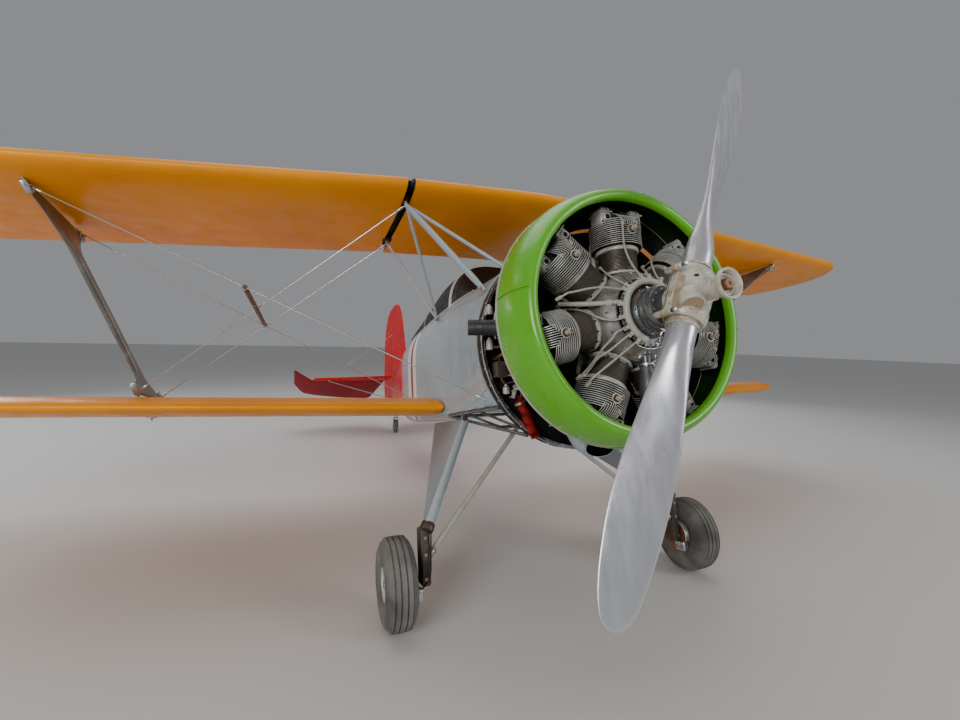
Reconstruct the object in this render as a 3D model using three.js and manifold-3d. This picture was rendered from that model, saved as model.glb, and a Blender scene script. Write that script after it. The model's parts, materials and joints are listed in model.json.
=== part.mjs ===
// Two-seat sport biplane with an open seven-cylinder radial engine, parked on its wheels.
// Millimetres. X is across (positive to the aircraft's left), Y is aft, Z is up.
// The airframe is drawn level, from the middle of the cowl's opening, with the thrust line along Y,
// and is then turned nose up by the parked angle so that all three wheels stand on the floor.
import * as THREE from 'three';
import { mergeVertices } from 'three/addons/utils/BufferGeometryUtils.js';
import Module from 'manifold-3d';

const wasm = await Module();
wasm.setup();

// Driving dimensions
const PARKED_ANGLE = THREE.MathUtils.degToRad(12);
const GAP = 0.4;
const MOVING_GAP = 7;
const FULL_TURN = Math.PI * 2;
const SIDES = { right: -1, left: 1 };

// Cowl section: radius and y, out over the nose, back to the baffle ring, and forward again inside
const COWL = [[512, -8], [516, -26], [540, -35], [560, -22], [582, 30], [597, 100], [596, 206], [474, 206],
  [474, 201], [591, 201], [592, 100], [577, 32], [556, -16], [540, -28], [524, -20], [519, 0], [512, -8]];
const BAFFLE = { y: 203, studAt: 496, stud: 9 };
const THRUST_Z = -22;
const FIREWALL = { y: 560, z: -55, radius: 552, rim: 60, rimWall: 14, thickness: 6 };

const ENGINE = { y: 108, cylinders: 7, caseRadius: 205, caseEnd: 208 };
const CYLINDER = { flange: 96, flangeHeight: 14, barrel: 90, band: 316, headFrom: 334, headTop: 448,
  head: 118, finRoot: 98, fins: 3, dome: 80, top: 505 };
const ROCKER = { x: 84, width: 68, front: 42, back: 142, bottom: 440, top: 533 };
const PUSHROD = { footX: 50, footY: 192, foot: 219, topX: 90, topY: 128, top: 482, radius: 10 };
const PLUG = { height: 400, radius: 10, reach: 14 };
const IGNITION = { radius: 133, tube: 15, y: -80, post: 8, lead: 5, bendRadius: 300, bendY: 30, end: 382 };
const BESIDE_SUMP = 4;
const LEDGE = { y: -52, inner: 112, outer: 148 };
const MOUNT_RING = { radius: 208, tube: 12, y: 235, footX: 330, footZ: 300 };
const ACCESSORY = { radius: 190, shoulder: 265, neck: 150, end: 385 };
const COLLECTOR = { radius: 330, tube: 32, y: 285, port: 20, stub: 37 };
const STUB_END = { x: -660, y: 395, z: 17 };
const PROPELLER = { y: -281, radius: 1205, lean: THREE.MathUtils.degToRad(23.8) };
const HUB = { radius: 88, depth: 78, shoulder: 84, end: 58, length: 128 };
const BLADE_POINTS = 16;

const UPPER = { rootX: 778, panelX: 822, y: 792, z: 930, centreY: 724, centreZ: 918, chord: 1080,
  sweep: 0.141, dihedral: 0, tipX: 3740, tip: 330 };
const LOWER = { rootX: 456, y: 1490, z: -310, chord: 1020, sweep: 0.141, dihedral: 0.042, tipX: 3560,
  tip: 300 };
const THICKNESS = 0.125;
const CAMBER = 0.022;
const CAMBER_PEAK = 0.4;
const AILERON = { innerX: 1500, outerX: 3180, hinge: 0.74, radius: 32, tail: 3, endGap: 15 };
const TIE_DOWN = { x: 2330, y: 2250, z: -274, size: 60 };

const STRUT = { topX: 2672, topY: 1222, topZ: 874, topSpars: 627, bottomX: 2325, bottomY: 1880, bottomZ: -135,
  bottomSpars: 540, pin: 9 };
const CABANE = {
  frontFoot: [464, 636, 262],
  innerFoot: [300, 650, 392],
  rearFoot: [432, 1630, 335],
  frontHead: [800, 958, 866],
  rearHead: [800, 1580, 880],
  pinZ: 932,
  pinReach: 38,
  pin: 8,
};
const WIRE = 4;
const SPREADER = 13;

const WHEEL = { track: 1878, radius: 221, halfWidth: 76, rim: 84, y: 854, z: -1206 };
const AXLE = { radius: 16, bore: 17 };
const LEG = { kneeX: 785, kneeY: 782, kneeZ: -955, blockX: 800, blockY: 826, block: [56, 96, 280],
  padZ: -1230 };
const BRACE = { apexY: 1103, apexZ: -388, radius: 14 };
const TAIL_WHEEL = { radius: 100, halfWidth: 24, y: 5492, z: -344.4, trail: 55 };

const TAIL = { hingeY: 5630, z: 372, rootX: 95, rootLead: 5190, tipX: 1160, tipLead: 5400, pinX: 960,
  pinY: 5500 };
const SURFACE = { nose: 13, plate: 12, tail: 2 };
const RUDDER_HINGE_Y = 5585;
// Fin: leading edge y at each height
const FIN = [[4430, 330], [4560, 470], [4672, 650], [4745, 920], [4835, 1190], [4930, 1330], [5060, 1425],
  [5230, 1462]];
// Rudder: trailing edge y at each height
const RUDDER = [[5860, -70], [6120, -20], [6280, 80], [6345, 230], [6335, 430], [6285, 700], [6215, 950],
  [6130, 1150], [6030, 1290], [5900, 1400], [5760, 1450], [5680, 1465]];
// Elevator: distance out at the leading and at the trailing edge, and how far ahead of the hinge
// and behind it they lie; it hangs down at rest, and its horn stands outside the stabiliser
const ELEVATOR = [[130, 290, 0, 430], [230, 335, 0, 475], [700, 700, 0, 450], [1150, 1150, 0, 360],
  [1190, 1190, 0, 345], [1300, 1300, 115, 300], [1430, 1430, 250, 60]];
const ELEVATOR_DROOP = THREE.MathUtils.degToRad(30);

// Fuselage sections: y, half width, top, middle, bottom, upper squareness, lower squareness.
// A squareness of 2 is an ellipse. Ahead of the split the belly is cut flat.
const BODY = [
  [FIREWALL.y + GAP, 552, 497, -55, -607, 2.0, 2.0],
  [820, 498, 492, -45, -570, 2.3, 2.8],
  [1100, 464, 488, -20, -520, 2.9, 4.5],
  [1500, 452, 490, 0, -500, 3.6, 6.0],
  [2100, 450, 505, 20, -470, 3.4, 6.0],
  [2700, 438, 520, 50, -420, 3.0, 5.0],
  [3200, 395, 520, 80, -370, 2.8, 4.5],
  [4200, 230, 470, 120, -225, 2.5, 4.0],
  [5000, 112, 400, 160, -70, 2.3, 3.0],
  [5566, 36, 352, 200, 60, 2.2, 2.5],
];
const SPLIT_Y = 3200;
const BELLY = -360;

// Windscreen, hoop and canopy: y, half width, top; they stand on the fuselage's upper edge
const WINDSCREEN = [
  [1250, 285, 520],
  [1380, 316, 645],
  [1490, 332, 728],
  [1578, 338, 768],
];
const HOOP = [
  [1579, 346, 778],
  [1621, 346, 782],
];
const CANOPY = [
  [1622, 339, 776],
  [2000, 341, 783],
  [2400, 335, 690],
  [3000, 312, 600],
  [3400, 262, 530],
];
const CANOPY_FOOT = 420;

// Finishes
const finish = (color, roughness, metalness) => (
  new THREE.MeshStandardMaterial({ color, roughness, metalness }));
const paint = (color, roughness = 0.25) => finish(color, roughness, 0);
const metal = (color, roughness = 0.4) => finish(color, roughness, 0.9);
const ORANGE = paint(0xe08a0c);
const GREEN = paint(0x6cc62e);
const SILVER = paint(0xb9c3c9, 0.35);
const RED = paint(0xd21f2b);
const BLACK = paint(0x1a1b1c, 0.6);
const RUBBER = paint(0x1c1c1d, 0.9);
const WHITE = paint(0xe6e6e0, 0.4);
const STEEL = metal(0x9a9c9e);
const ALUMINIUM = metal(0xc4c7cb, 0.35);
const CAST = metal(0x8a8078, 0.6);

const biplane = new THREE.Group();
const airframe = new THREE.Group();
airframe.rotation.x = -PARKED_ANGLE;
const powerplant = new THREE.Group();
powerplant.position.z = THRUST_Z;
airframe.add(powerplant);
biplane.add(airframe);

const vec = (x, y, z) => new THREE.Vector3(x, y, z);
const onSide = ([x, y, z], side) => vec(x * side, y, z);

// The geometry with equal points merged and empty faces left out
function merged(geometry) {
  const bare = new THREE.BufferGeometry();
  bare.setAttribute('position', geometry.getAttribute('position').clone());
  if (geometry.index) bare.setIndex(geometry.index.clone());
  const result = mergeVertices(bare, 1e-3);
  const corners = result.index.array;
  const kept = [];
  for (let i = 0; i < corners.length; i += 3) {
    const [a, b, c] = [corners[i], corners[i + 1], corners[i + 2]];
    if (a !== b && b !== c && c !== a) kept.push(a, b, c);
  }
  result.setIndex(kept);
  return result;
}

function solid(geometry) {
  const shape = merged(geometry);
  return new wasm.Manifold(new wasm.Mesh({
    numProp: 3,
    vertProperties: new Float32Array(shape.getAttribute('position').array),
    triVerts: new Uint32Array(shape.index.array),
  }));
}

function geometryOf(manifold) {
  const mesh = manifold.getMesh();
  const geometry = new THREE.BufferGeometry();
  geometry.setAttribute('position', new THREE.BufferAttribute(new Float32Array(mesh.vertProperties), 3));
  geometry.setIndex(new THREE.BufferAttribute(new Uint32Array(mesh.triVerts), 1));
  geometry.computeVertexNormals();
  return geometry;
}

const asSolid = (shape) => (shape.isBufferGeometry ? solid(shape) : shape);
const join = (parts) => parts.map(asSolid).reduce((a, b) => a.add(b));
const cut = (part, ...tools) => tools.map(asSolid).reduce((a, b) => a.subtract(b), asSolid(part));

function put(name, shape, material, parent = airframe) {
  const mesh = new THREE.Mesh(shape.isBufferGeometry ? shape : geometryOf(shape), material);
  mesh.name = name;
  parent.add(mesh);
}

// Turns the faces over if the signed volume says that they point inwards
function facingOut(geometry) {
  const at = geometry.getAttribute('position');
  const index = geometry.index.array;
  const [a, b, c] = [vec(0, 0, 0), vec(0, 0, 0), vec(0, 0, 0)];
  let volume = 0;
  for (let i = 0; i < index.length; i += 3) {
    a.fromBufferAttribute(at, index[i]);
    b.fromBufferAttribute(at, index[i + 1]);
    c.fromBufferAttribute(at, index[i + 2]);
    volume += a.dot(b.cross(c));
  }
  if (volume < 0) {
    for (let i = 0; i < index.length; i += 3) [index[i], index[i + 1]] = [index[i + 1], index[i]];
  }
  return geometry;
}

// A closed skin over rings of the same number of points, with flat ends
function loft(rings) {
  const count = rings[0].length;
  const points = rings.flat();
  const index = [];
  for (let ring = 0; ring + 1 < rings.length; ring += 1) {
    for (let i = 0; i < count; i += 1) {
      const j = (i + 1) % count;
      const [a, b] = [ring * count + i, ring * count + j];
      index.push(a, b, a + count, b, b + count, a + count);
    }
  }
  for (const [first, flip] of [[0, true], [(rings.length - 1) * count, false]]) {
    const centre = vec(0, 0, 0);
    for (let i = 0; i < count; i += 1) centre.addScaledVector(points[first + i], 1 / count);
    points.push(centre);
    for (let i = 0; i < count; i += 1) {
      const pair = [first + i, first + (i + 1) % count];
      if (flip) pair.reverse();
      index.push(...pair, points.length - 1);
    }
  }
  const geometry = new THREE.BufferGeometry().setFromPoints(points);
  geometry.setIndex(index);
  return facingOut(geometry);
}

// A round bar from one point to another
function rod(from, to, radius, sides = 10) {
  const along = to.clone().sub(from);
  const geometry = new THREE.CylinderGeometry(radius, radius, along.length(), sides);
  geometry.translate(0, along.length() / 2, 0);
  geometry.applyQuaternion(new THREE.Quaternion().setFromUnitVectors(vec(0, 1, 0), along.normalize()));
  geometry.translate(from.x, from.y, from.z);
  return geometry;
}

// A streamlined bar with its chord along Y: each station is [point, chord, thickness]
function fairedBar(stations, sides = 12, grow = 0) {
  const along = stations.at(-1)[0].clone().sub(stations[0][0]);
  const aft = vec(0, 1, 0);
  const across = aft.clone().cross(along).normalize();
  return loft(stations.map(([point, chord, thickness]) => Array.from({ length: sides }, (_, i) => {
    const turn = (i / sides) * FULL_TURN;
    return point.clone().addScaledVector(aft, Math.cos(turn) * (chord / 2 + grow))
      .addScaledVector(across, Math.sin(turn) * (thickness / 2 + grow));
  })));
}

// A bent pipe of oval section: each station is [point, direction, half width, half height]
function duct(stations, sides = 20) {
  return loft(stations.map(([point, direction, halfWidth, halfHeight]) => {
    const along = direction.clone().normalize();
    const across = vec(1, 0, 0).addScaledVector(along, -along.x).normalize();
    const rise = along.clone().cross(across);
    return Array.from({ length: sides }, (_, i) => {
      const turn = (i / sides) * FULL_TURN;
      return point.clone().addScaledVector(across, Math.cos(turn) * halfWidth)
        .addScaledVector(rise, Math.sin(turn) * halfHeight);
    });
  }));
}

function box(width, depth, height, x, y, z) {
  const geometry = new THREE.BoxGeometry(width, depth, height);
  geometry.translate(x, y, z);
  return geometry;
}

// A turned piece from pairs of [radius, place along the axis]
function turned(profile, sides, axis = 'y') {
  const geometry = new THREE.LatheGeometry(profile.map(([r, along]) => new THREE.Vector2(r, along)), sides);
  if (axis === 'x') geometry.rotateZ(-Math.PI / 2);
  if (axis === 'z') geometry.rotateX(Math.PI / 2);
  return facingOut(merged(geometry));
}

// A ring of round bar about the thrust line
function hoop(radius, tube, y, sides, segments) {
  const geometry = new THREE.TorusGeometry(radius, tube, sides, segments);
  geometry.rotateX(Math.PI / 2);
  geometry.translate(0, y, 0);
  return geometry;
}

// The point at a radius from the thrust line, at a share of a full turn from straight up
const around = (share, radius, y) => (
  vec(Math.sin(share * FULL_TURN) * radius, y, Math.cos(share * FULL_TURN) * radius));

function bodySection([y, half, top, middle, bottom, upper, lower], grow = 0, points = 36) {
  return Array.from({ length: points }, (_, i) => {
    const turn = (i / points) * FULL_TURN;
    const [c, s] = [Math.cos(turn), Math.sin(turn)];
    const bend = 2 / (s > 0 ? upper : lower);
    const reach = (s > 0 ? top - middle : middle - bottom) + grow;
    return vec(Math.sign(c) * (half + grow) * Math.abs(c) ** bend, y,
      middle + Math.sign(s) * reach * Math.abs(s) ** bend);
  });
}

const bodyLoft = (sections, grow = 0) => solid(loft(sections.map((section) => bodySection(section, grow))));
const belowBelly = (grow = 0) => box(1400, SPLIT_Y, 400, 0, SPLIT_Y / 2, BELLY - grow - 200);

function arch([y, half, top], points = 24) {
  const bend = 2 / 2.3;
  return Array.from({ length: points }, (_, i) => {
    const turn = (i / (points - 1)) * Math.PI;
    const [c, s] = [Math.cos(turn), Math.sin(turn)];
    return vec(Math.sign(c) * half * Math.abs(c) ** bend, y, CANOPY_FOOT + (top - CANOPY_FOOT) * s ** bend);
  });
}

// A point of the wing's section at a share of the chord, on its upper or lower side
function sectionPoint(along, upper) {
  const half = 5 * THICKNESS * (0.2969 * Math.sqrt(along) - 0.126 * along - 0.3516 * along ** 2
    + 0.2843 * along ** 3 - 0.1036 * along ** 4) + 0.002 * along;
  const camber = along < CAMBER_PEAK
    ? CAMBER / CAMBER_PEAK ** 2 * (2 * CAMBER_PEAK * along - along ** 2)
    : CAMBER / (1 - CAMBER_PEAK) ** 2 * (1 - 2 * CAMBER_PEAK + 2 * CAMBER_PEAK * along - along ** 2);
  return [along, camber + (upper ? half : -half)];
}

function wingRing(x, y, z, chord, steps = 10) {
  const share = (i) => (1 - Math.cos(Math.PI * i / steps)) / 2;
  const upper = Array.from({ length: steps }, (_, i) => sectionPoint(share(steps - i), true));
  const lower = Array.from({ length: steps + 1 }, (_, i) => sectionPoint(share(i), false));
  return [...upper, ...lower].map(([a, b]) => vec(x, y + a * chord, z + b * chord));
}

// A wing panel from a distance out to its rounded tip
function wingPanel(side, wing, from) {
  const place = (x, narrowing) => {
    const out = x - from.x;
    const lead = wing.y + out * wing.sweep + narrowing * wing.chord * 0.42;
    return wingRing(x * side, lead, wing.z + out * wing.dihedral, wing.chord * (1 - narrowing * 0.85));
  };
  const TIP_STEPS = 6;
  const tip = Array.from({ length: TIP_STEPS + 1 }, (_, i) => {
    const turn = (i / TIP_STEPS) * Math.PI / 2 * 0.98;
    return place(wing.tipX - wing.tip + wing.tip * Math.sin(turn), 1 - Math.cos(turn));
  });
  return loft([place(from.start, 0), ...tip]);
}

// A control surface or tail panel: each station is [leading point, trailing point, nose radius, tail half]
function panel(stations, span) {
  const NOSE_STEPS = 6;
  return loft(stations.map(([lead, trail, nose, tail]) => {
    const aft = trail.clone().sub(lead).normalize();
    const up = span.clone().cross(aft).normalize();
    const ring = Array.from({ length: NOSE_STEPS + 1 }, (_, i) => {
      const turn = Math.PI / 2 + (i / NOSE_STEPS) * Math.PI;
      const [back, rise] = [Math.cos(turn) * nose, Math.sin(turn) * nose];
      return lead.clone().addScaledVector(aft, back).addScaledVector(up, rise);
    });
    ring.push(trail.clone().addScaledVector(up, -tail), trail.clone().addScaledVector(up, tail));
    return ring;
  }));
}

// The fuselage a little larger all round, so that what rests on it keeps a gap
const clearOfBody = cut(bodyLoft(BODY, GAP), belowBelly(GAP));

function buildFuselage() {
  const nose = BODY.filter(([y]) => y <= SPLIT_Y);
  const rear = BODY.filter(([y]) => y >= SPLIT_Y);
  rear[0] = [SPLIT_Y + GAP, ...rear[0].slice(1)];
  put('fuselage_nose', cut(bodyLoft(nose), belowBelly()), SILVER);
  put('fuselage_rear', bodyLoft(rear), RED);
}

function buildCanopy() {
  const standing = (sections) => cut(loft(sections.map((section) => arch(section))), clearOfBody);
  put('windscreen', standing(WINDSCREEN), BLACK);
  put('canopy_frame', standing(HOOP), WHITE);
  put('canopy', standing(CANOPY), BLACK);
}

function buildFirewall() {
  const { y, z, radius, rim, rimWall, thickness } = FIREWALL;
  const inner = radius - rimWall;
  const plate = turned([[0, y], [0, y - thickness], [inner, y - thickness], [inner, y - rim],
    [radius, y - rim], [radius, y], [0, y]], 44);
  put('firewall', plate.translate(0, 0, z), STEEL);
}

// Ring cowl with a baffle ring behind the cylinders, which rests on a stud at each cylinder head
function buildCowl() {
  const { y, studAt, stud } = BAFFLE;
  const headBack = ENGINE.y + CYLINDER.dome + GAP;
  const studs = join(Array.from({ length: ENGINE.cylinders }, (_, i) => (
    rod(around(i / ENGINE.cylinders, studAt, headBack), around(i / ENGINE.cylinders, studAt, y), stud, 8))));
  put('cowl', join([turned(COWL, 40), studs.translate(0, 0, THRUST_Z)]), GREEN);
}

// Crankcase with its nose, the ledge that carries the ignition ring, and the slim oil sump below
function buildCrankcase() {
  const { caseRadius, caseEnd } = ENGINE;
  const body = turned([[0, -196], [52, -196], [52, -165], [88, -160], [94, -95], [106, -78],
    [LEDGE.inner, LEDGE.y], [LEDGE.outer, LEDGE.y], [188, -22], [caseRadius, 0], [caseRadius, caseEnd],
    [0, caseEnd], [0, -196]], 24);
  const sump = turned([[0, -165], [30, -165], [30, -228], [42, -300], [42, -350], [26, -430], [0, -436],
    [0, -165]], 14, 'z').translate(0, -10, 0);
  put('crankcase', join([body, sump]), STEEL, powerplant);

  const { radius, shoulder, neck, end } = ACCESSORY;
  const start = caseEnd + GAP;
  put('accessory_case', join([
    turned([[0, start], [radius, start], [radius, shoulder], [neck, shoulder + 15], [neck, end], [0, end],
      [0, start]], 20),
    ...[-1, 1].map((side) => box(110, 130, 120, side * 95, end + 45, 75)),
    box(130, 130, 130, 0, end + 45, -95),
  ]), STEEL, powerplant);
}

// One cylinder stands on +Z over the thrust line: coarse fins, rocker boxes, pushrod tubes and a spark plug
function cylinderShape() {
  const { flange, flangeHeight, barrel, band, headFrom, headTop, head, finRoot, fins, dome, top } = CYLINDER;
  const foot = ENGINE.caseRadius + GAP;
  const seat = foot + flangeHeight;
  const pitch = (headTop - headFrom) / fins;
  const fin = (i) => {
    const [low, high] = [headFrom + i * pitch, headFrom + (i + 0.5) * pitch];
    return [[head, low], [head, high], [finRoot, high], [finRoot, low + pitch]];
  };
  const headFront = ENGINE.y - head;
  const pad = { margin: 12, depth: 46, set: 8 };
  const parts = [
    turned([[0, foot], [flange, foot], [flange, seat], [barrel, seat], [barrel, band], [finRoot, band],
      [finRoot, headFrom], ...Array.from({ length: fins }, (_, i) => fin(i)).flat(),
      [dome, headTop], [dome, top], [0, top], [0, foot]], 12, 'z').translate(0, ENGINE.y, 0),
    box((PUSHROD.footX + pad.margin) * 2, pad.depth, flangeHeight - 1, 0, PUSHROD.footY - pad.set,
      seat - flangeHeight / 2 + 1),
    rod(vec(0, headFront + 12, PLUG.height), vec(0, headFront - PLUG.reach, PLUG.height), PLUG.radius, 6),
  ];
  for (const side of [-1, 1]) {
    const height = ROCKER.top - ROCKER.bottom;
    const depth = ROCKER.back - ROCKER.front;
    parts.push(box(ROCKER.width, depth, height, side * ROCKER.x, ROCKER.front + depth / 2,
      ROCKER.bottom + height / 2));
    parts.push(rod(vec(side * PUSHROD.footX, PUSHROD.footY, PUSHROD.foot),
      vec(side * PUSHROD.topX, PUSHROD.topY, PUSHROD.top), PUSHROD.radius, 6));
  }
  return geometryOf(join(parts));
}

function buildCylinders() {
  const shape = cylinderShape();
  for (let i = 0; i < ENGINE.cylinders; i += 1) {
    const geometry = shape.clone().rotateY((i / ENGINE.cylinders) * FULL_TURN);
    put(`cylinder_${i + 1}`, geometry, CAST, powerplant);
  }
}

// Ring with a post to the crankcase's ledge at each cylinder, and between them a lead to each head's side,
// but for the one that would run through the sump
function buildIgnition() {
  const { radius, tube, y, post, lead, bendRadius, bendY, end } = IGNITION;
  const parts = [hoop(radius, tube, y, 6, 28)];
  for (let i = 0; i < ENGINE.cylinders; i += 1) {
    const share = i / ENGINE.cylinders;
    const between = share - 0.5 / ENGINE.cylinders;
    const bend = around(between, bendRadius, bendY);
    const headSide = vec(-CYLINDER.head - lead - GAP, ENGINE.y, end)
      .applyAxisAngle(vec(0, 1, 0), share * FULL_TURN);
    parts.push(rod(around(share, radius, y), around(share, radius, LEDGE.y - GAP), post, 6));
    if (i !== BESIDE_SUMP) {
      parts.push(rod(around(between, radius, y), bend, lead, 6), rod(bend, headSide, lead, 6));
    }
  }
  put('ignition_ring', join(parts), WHITE, powerplant);
}

function buildEngineMount() {
  const { radius, tube, y, footX, footZ } = MOUNT_RING;
  const LUG_SHARES = [0, 0.25, 0.5, 0.75];
  const parts = [hoop(radius, tube, y, 6, 20)];
  for (const share of LUG_SHARES) {
    parts.push(rod(around(share, radius, y), around(share, ACCESSORY.radius + 1, y), tube - 3, 6));
  }
  const footRadius = 20;
  const footDepth = 12;
  const footY = FIREWALL.y - FIREWALL.thickness - footDepth;
  for (const side of [-1, 1]) {
    for (const up of [-1, 1]) {
      for (const turn of [0.15, 0.85]) {
        const angle = turn * Math.PI / 2;
        const from = vec(side * radius * Math.cos(angle), y, up * radius * Math.sin(angle));
        parts.push(rod(from, vec(side * footX, footY, up * footZ), tube - 1, 5));
      }
      parts.push(rod(vec(side * footX, footY - 4, up * footZ),
        vec(side * footX, footY + footDepth - GAP, up * footZ), footRadius, 8));
    }
  }
  put('engine_mount', join(parts), STEEL, powerplant);
}

// Collector ring behind the cylinders, with a port to each one and the stub that comes out on the right
function buildExhaust() {
  const { radius, tube, y, port, stub } = COLLECTOR;
  const portRadius = CYLINDER.headFrom + 62;
  const portY = ENGINE.y + CYLINDER.head + port;
  const parts = [hoop(radius, tube, y, 6, 28)];
  for (let i = 0; i < ENGINE.cylinders; i += 1) {
    const share = i / ENGINE.cylinders;
    parts.push(rod(around(share, portRadius, portY), around(share, radius + 10, y), port, 6));
  }
  parts.push(rod(vec(-radius, y, 0), vec(STUB_END.x, STUB_END.y, STUB_END.z), stub, 20));
  put('exhaust', join(parts), BLACK, powerplant);
}

// Oval air scoop under the cowl, and a loose-ended red duct beside it on the firewall's rim
function buildDucts() {
  put('air_intake', duct([
    [vec(6, 388, -603), vec(0, 1, 0.05), 86, 43],
    [vec(2, 425, -598), vec(-0.2, 1, 0.3), 82, 45],
    [vec(-36, 446, -570), vec(-1, 0.6, 1), 64, 50],
    [vec(-84, 448, -520), vec(-0.6, 0.1, 1), 52, 48],
    [vec(-104, 448, -430), vec(0, 0, 1), 48, 48],
  ]), SILVER);
  const y = FIREWALL.y - FIREWALL.rim - GAP - 29;
  put('cooling_duct', rod(vec(-385, y, -345), vec(-300, y, -534), 29, 14), RED);
}

// Propeller: two blades on a hub with a dome in front, turned about the thrust line
function buildPropeller() {
  const { y, radius, lean } = PROPELLER;
  const { depth, shoulder, end, length } = HUB;
  const lay = new THREE.Matrix4().makeRotationY(lean);
  const barrel = turned([[0, -length], [end, -length], [HUB.radius, -shoulder], [HUB.radius, shoulder],
    [end, length], [0, length], [0, -length]], 24, 'z').scale(1, depth / HUB.radius, 1).translate(0, y, 0);
  put('propeller_hub', join([
    barrel.applyMatrix4(lay),
    turned([[0, y + depth], [64, y + depth], [64, y], [34, y], [34, y - 55], [40, y - 120], [50, y - 165],
      [59, y - 178], [59, y - 190], [0, y - 190], [0, y + depth]], 24),
  ]), WHITE, powerplant);
  // Blade stations: distance out, chord, thickness, pitch
  const stations = [[length + GAP, 112, 112, 0], [185, 112, 108, 0.2], [260, 120, 92, 0.5],
    [420, 165, 44, 0.62], [640, 200, 30, 0.5], [900, 190, 20, 0.38], [1100, 150, 13, 0.3],
    [1180, 95, 9, 0.28], [radius, 30, 6, 0.27]];
  for (const [index, turn] of [[1, 0], [2, Math.PI]]) {
    const blade = loft(stations.map(([out, chord, thick, pitch]) => (
      Array.from({ length: BLADE_POINTS }, (_, i) => {
        const angle = (i / BLADE_POINTS) * FULL_TURN;
        const [a, b] = [Math.cos(angle) * chord / 2, Math.sin(angle) * thick / 2];
        return vec(a * Math.cos(pitch) - b * Math.sin(pitch), y + a * Math.sin(pitch) + b * Math.cos(pitch),
          out);
      }))));
    put(`propeller_blade_${index}`, blade.rotateY(turn).applyMatrix4(lay), ALUMINIUM, powerplant);
  }
}

// Pins across the cabane's heads, which join them to the centre section and the outer panels
function cabanePins(side, grow = 0) {
  const { pinZ, pinReach, pin } = CABANE;
  return [CABANE.frontHead, CABANE.rearHead].map(([x, y]) => rod(vec((x - pinReach - grow) * side, y, pinZ),
    vec((x + pinReach + grow) * side, y, pinZ), pin + grow, 10));
}

function strutEnds(side) {
  const { topX, topY, topZ, topSpars, bottomX, bottomY, bottomZ, bottomSpars } = STRUT;
  return {
    top: vec(topX * side, topY + topSpars / 2, topZ),
    bottom: vec(bottomX * side, bottomY + bottomSpars / 2, bottomZ),
  };
}

function strutPins(side, grow = 0) {
  const { top, bottom } = strutEnds(side);
  const reach = { front: 22, rear: 48 };
  return [-1, 1].flatMap((end) => [
    rod(top.clone().add(vec(0, end * STRUT.topSpars / 2, -14)),
      top.clone().add(vec(0, end * STRUT.topSpars / 2, (end < 0 ? reach.front : reach.rear) + grow)),
      STRUT.pin + grow),
    rod(bottom.clone().add(vec(0, end * STRUT.bottomSpars / 2, 14)),
      bottom.clone().add(vec(0, end * STRUT.bottomSpars / 2, -50 - grow)), STRUT.pin + grow),
  ]);
}

function buildWings() {
  const { rootX, panelX, y, z, centreY, centreZ, chord } = UPPER;
  const centre = loft([
    wingRing(-rootX, y, z, chord), wingRing(0, centreY, centreZ, chord), wingRing(rootX, y, z, chord)]);
  const pins = [-1, 1].flatMap((side) => cabanePins(side, GAP));
  put('upper_centre_section', cut(centre, ...pins), ORANGE);

  for (const [name, side] of Object.entries(SIDES)) {
    const upper = wingPanel(side, UPPER, { x: panelX, start: panelX });
    put(`upper_wing_${name}`, cut(upper, ...cabanePins(side, GAP), ...strutPins(side, GAP)), ORANGE);

    const { hinge, radius, innerX, outerX, tail, endGap } = AILERON;
    const middle = (along) => (sectionPoint(along, true)[1] + sectionPoint(along, false)[1]) / 2;
    const hingeAt = (x, along) => {
      const out = x - LOWER.rootX;
      return vec(x * side, LOWER.y + out * LOWER.sweep + along * LOWER.chord,
        LOWER.z + out * LOWER.dihedral + middle(along) * LOWER.chord);
    };
    const notch = loft([innerX, outerX].map((x) => {
      const edge = hingeAt(x, hinge).add(vec(0, -radius - MOVING_GAP, 0));
      return [[0, -150], [600, -150], [600, 150], [0, 150]]
        .map(([aft, up]) => edge.clone().add(vec(0, aft, up)));
    }));
    const lower = wingPanel(side, LOWER, { x: LOWER.rootX, start: LOWER.rootX - 36 });
    const pad = box(TIE_DOWN.size, TIE_DOWN.size, 40, TIE_DOWN.x * side, TIE_DOWN.y, TIE_DOWN.z + 20);
    put(`lower_wing_${name}`, join([cut(lower, notch, clearOfBody, ...strutPins(side, GAP)), pad]), ORANGE);

    const TRAILING = 0.998;
    const [inner, outer] = [innerX + endGap, outerX - endGap];
    const span = hingeAt(outer, hinge).sub(hingeAt(inner, hinge)).normalize();
    put(`aileron_${name}`, panel([inner, outer].map((x) => (
      [hingeAt(x, hinge), hingeAt(x, TRAILING), radius, tail])), span), ORANGE);
  }
}

// Interplane strut: a slim bar that flares at both ends to reach the front and rear spars
function interplaneStrut(side, grow = 0) {
  const { top, bottom } = strutEnds(side);
  const { topSpars, bottomSpars } = STRUT;
  // Share of the height, chord, thickness
  const stations = [[0, bottomSpars + 40, 22], [0.035, bottomSpars, 26], [0.1, 250, 34], [0.18, 130, 42],
    [0.5, 112, 44], [0.76, 130, 42], [0.87, 330, 34], [0.965, topSpars, 26], [1, topSpars + 44, 22]];
  return fairedBar(stations.map(([share, chord, thickness]) => (
    [bottom.clone().lerp(top, share), chord, thickness])), 16, grow);
}

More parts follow.
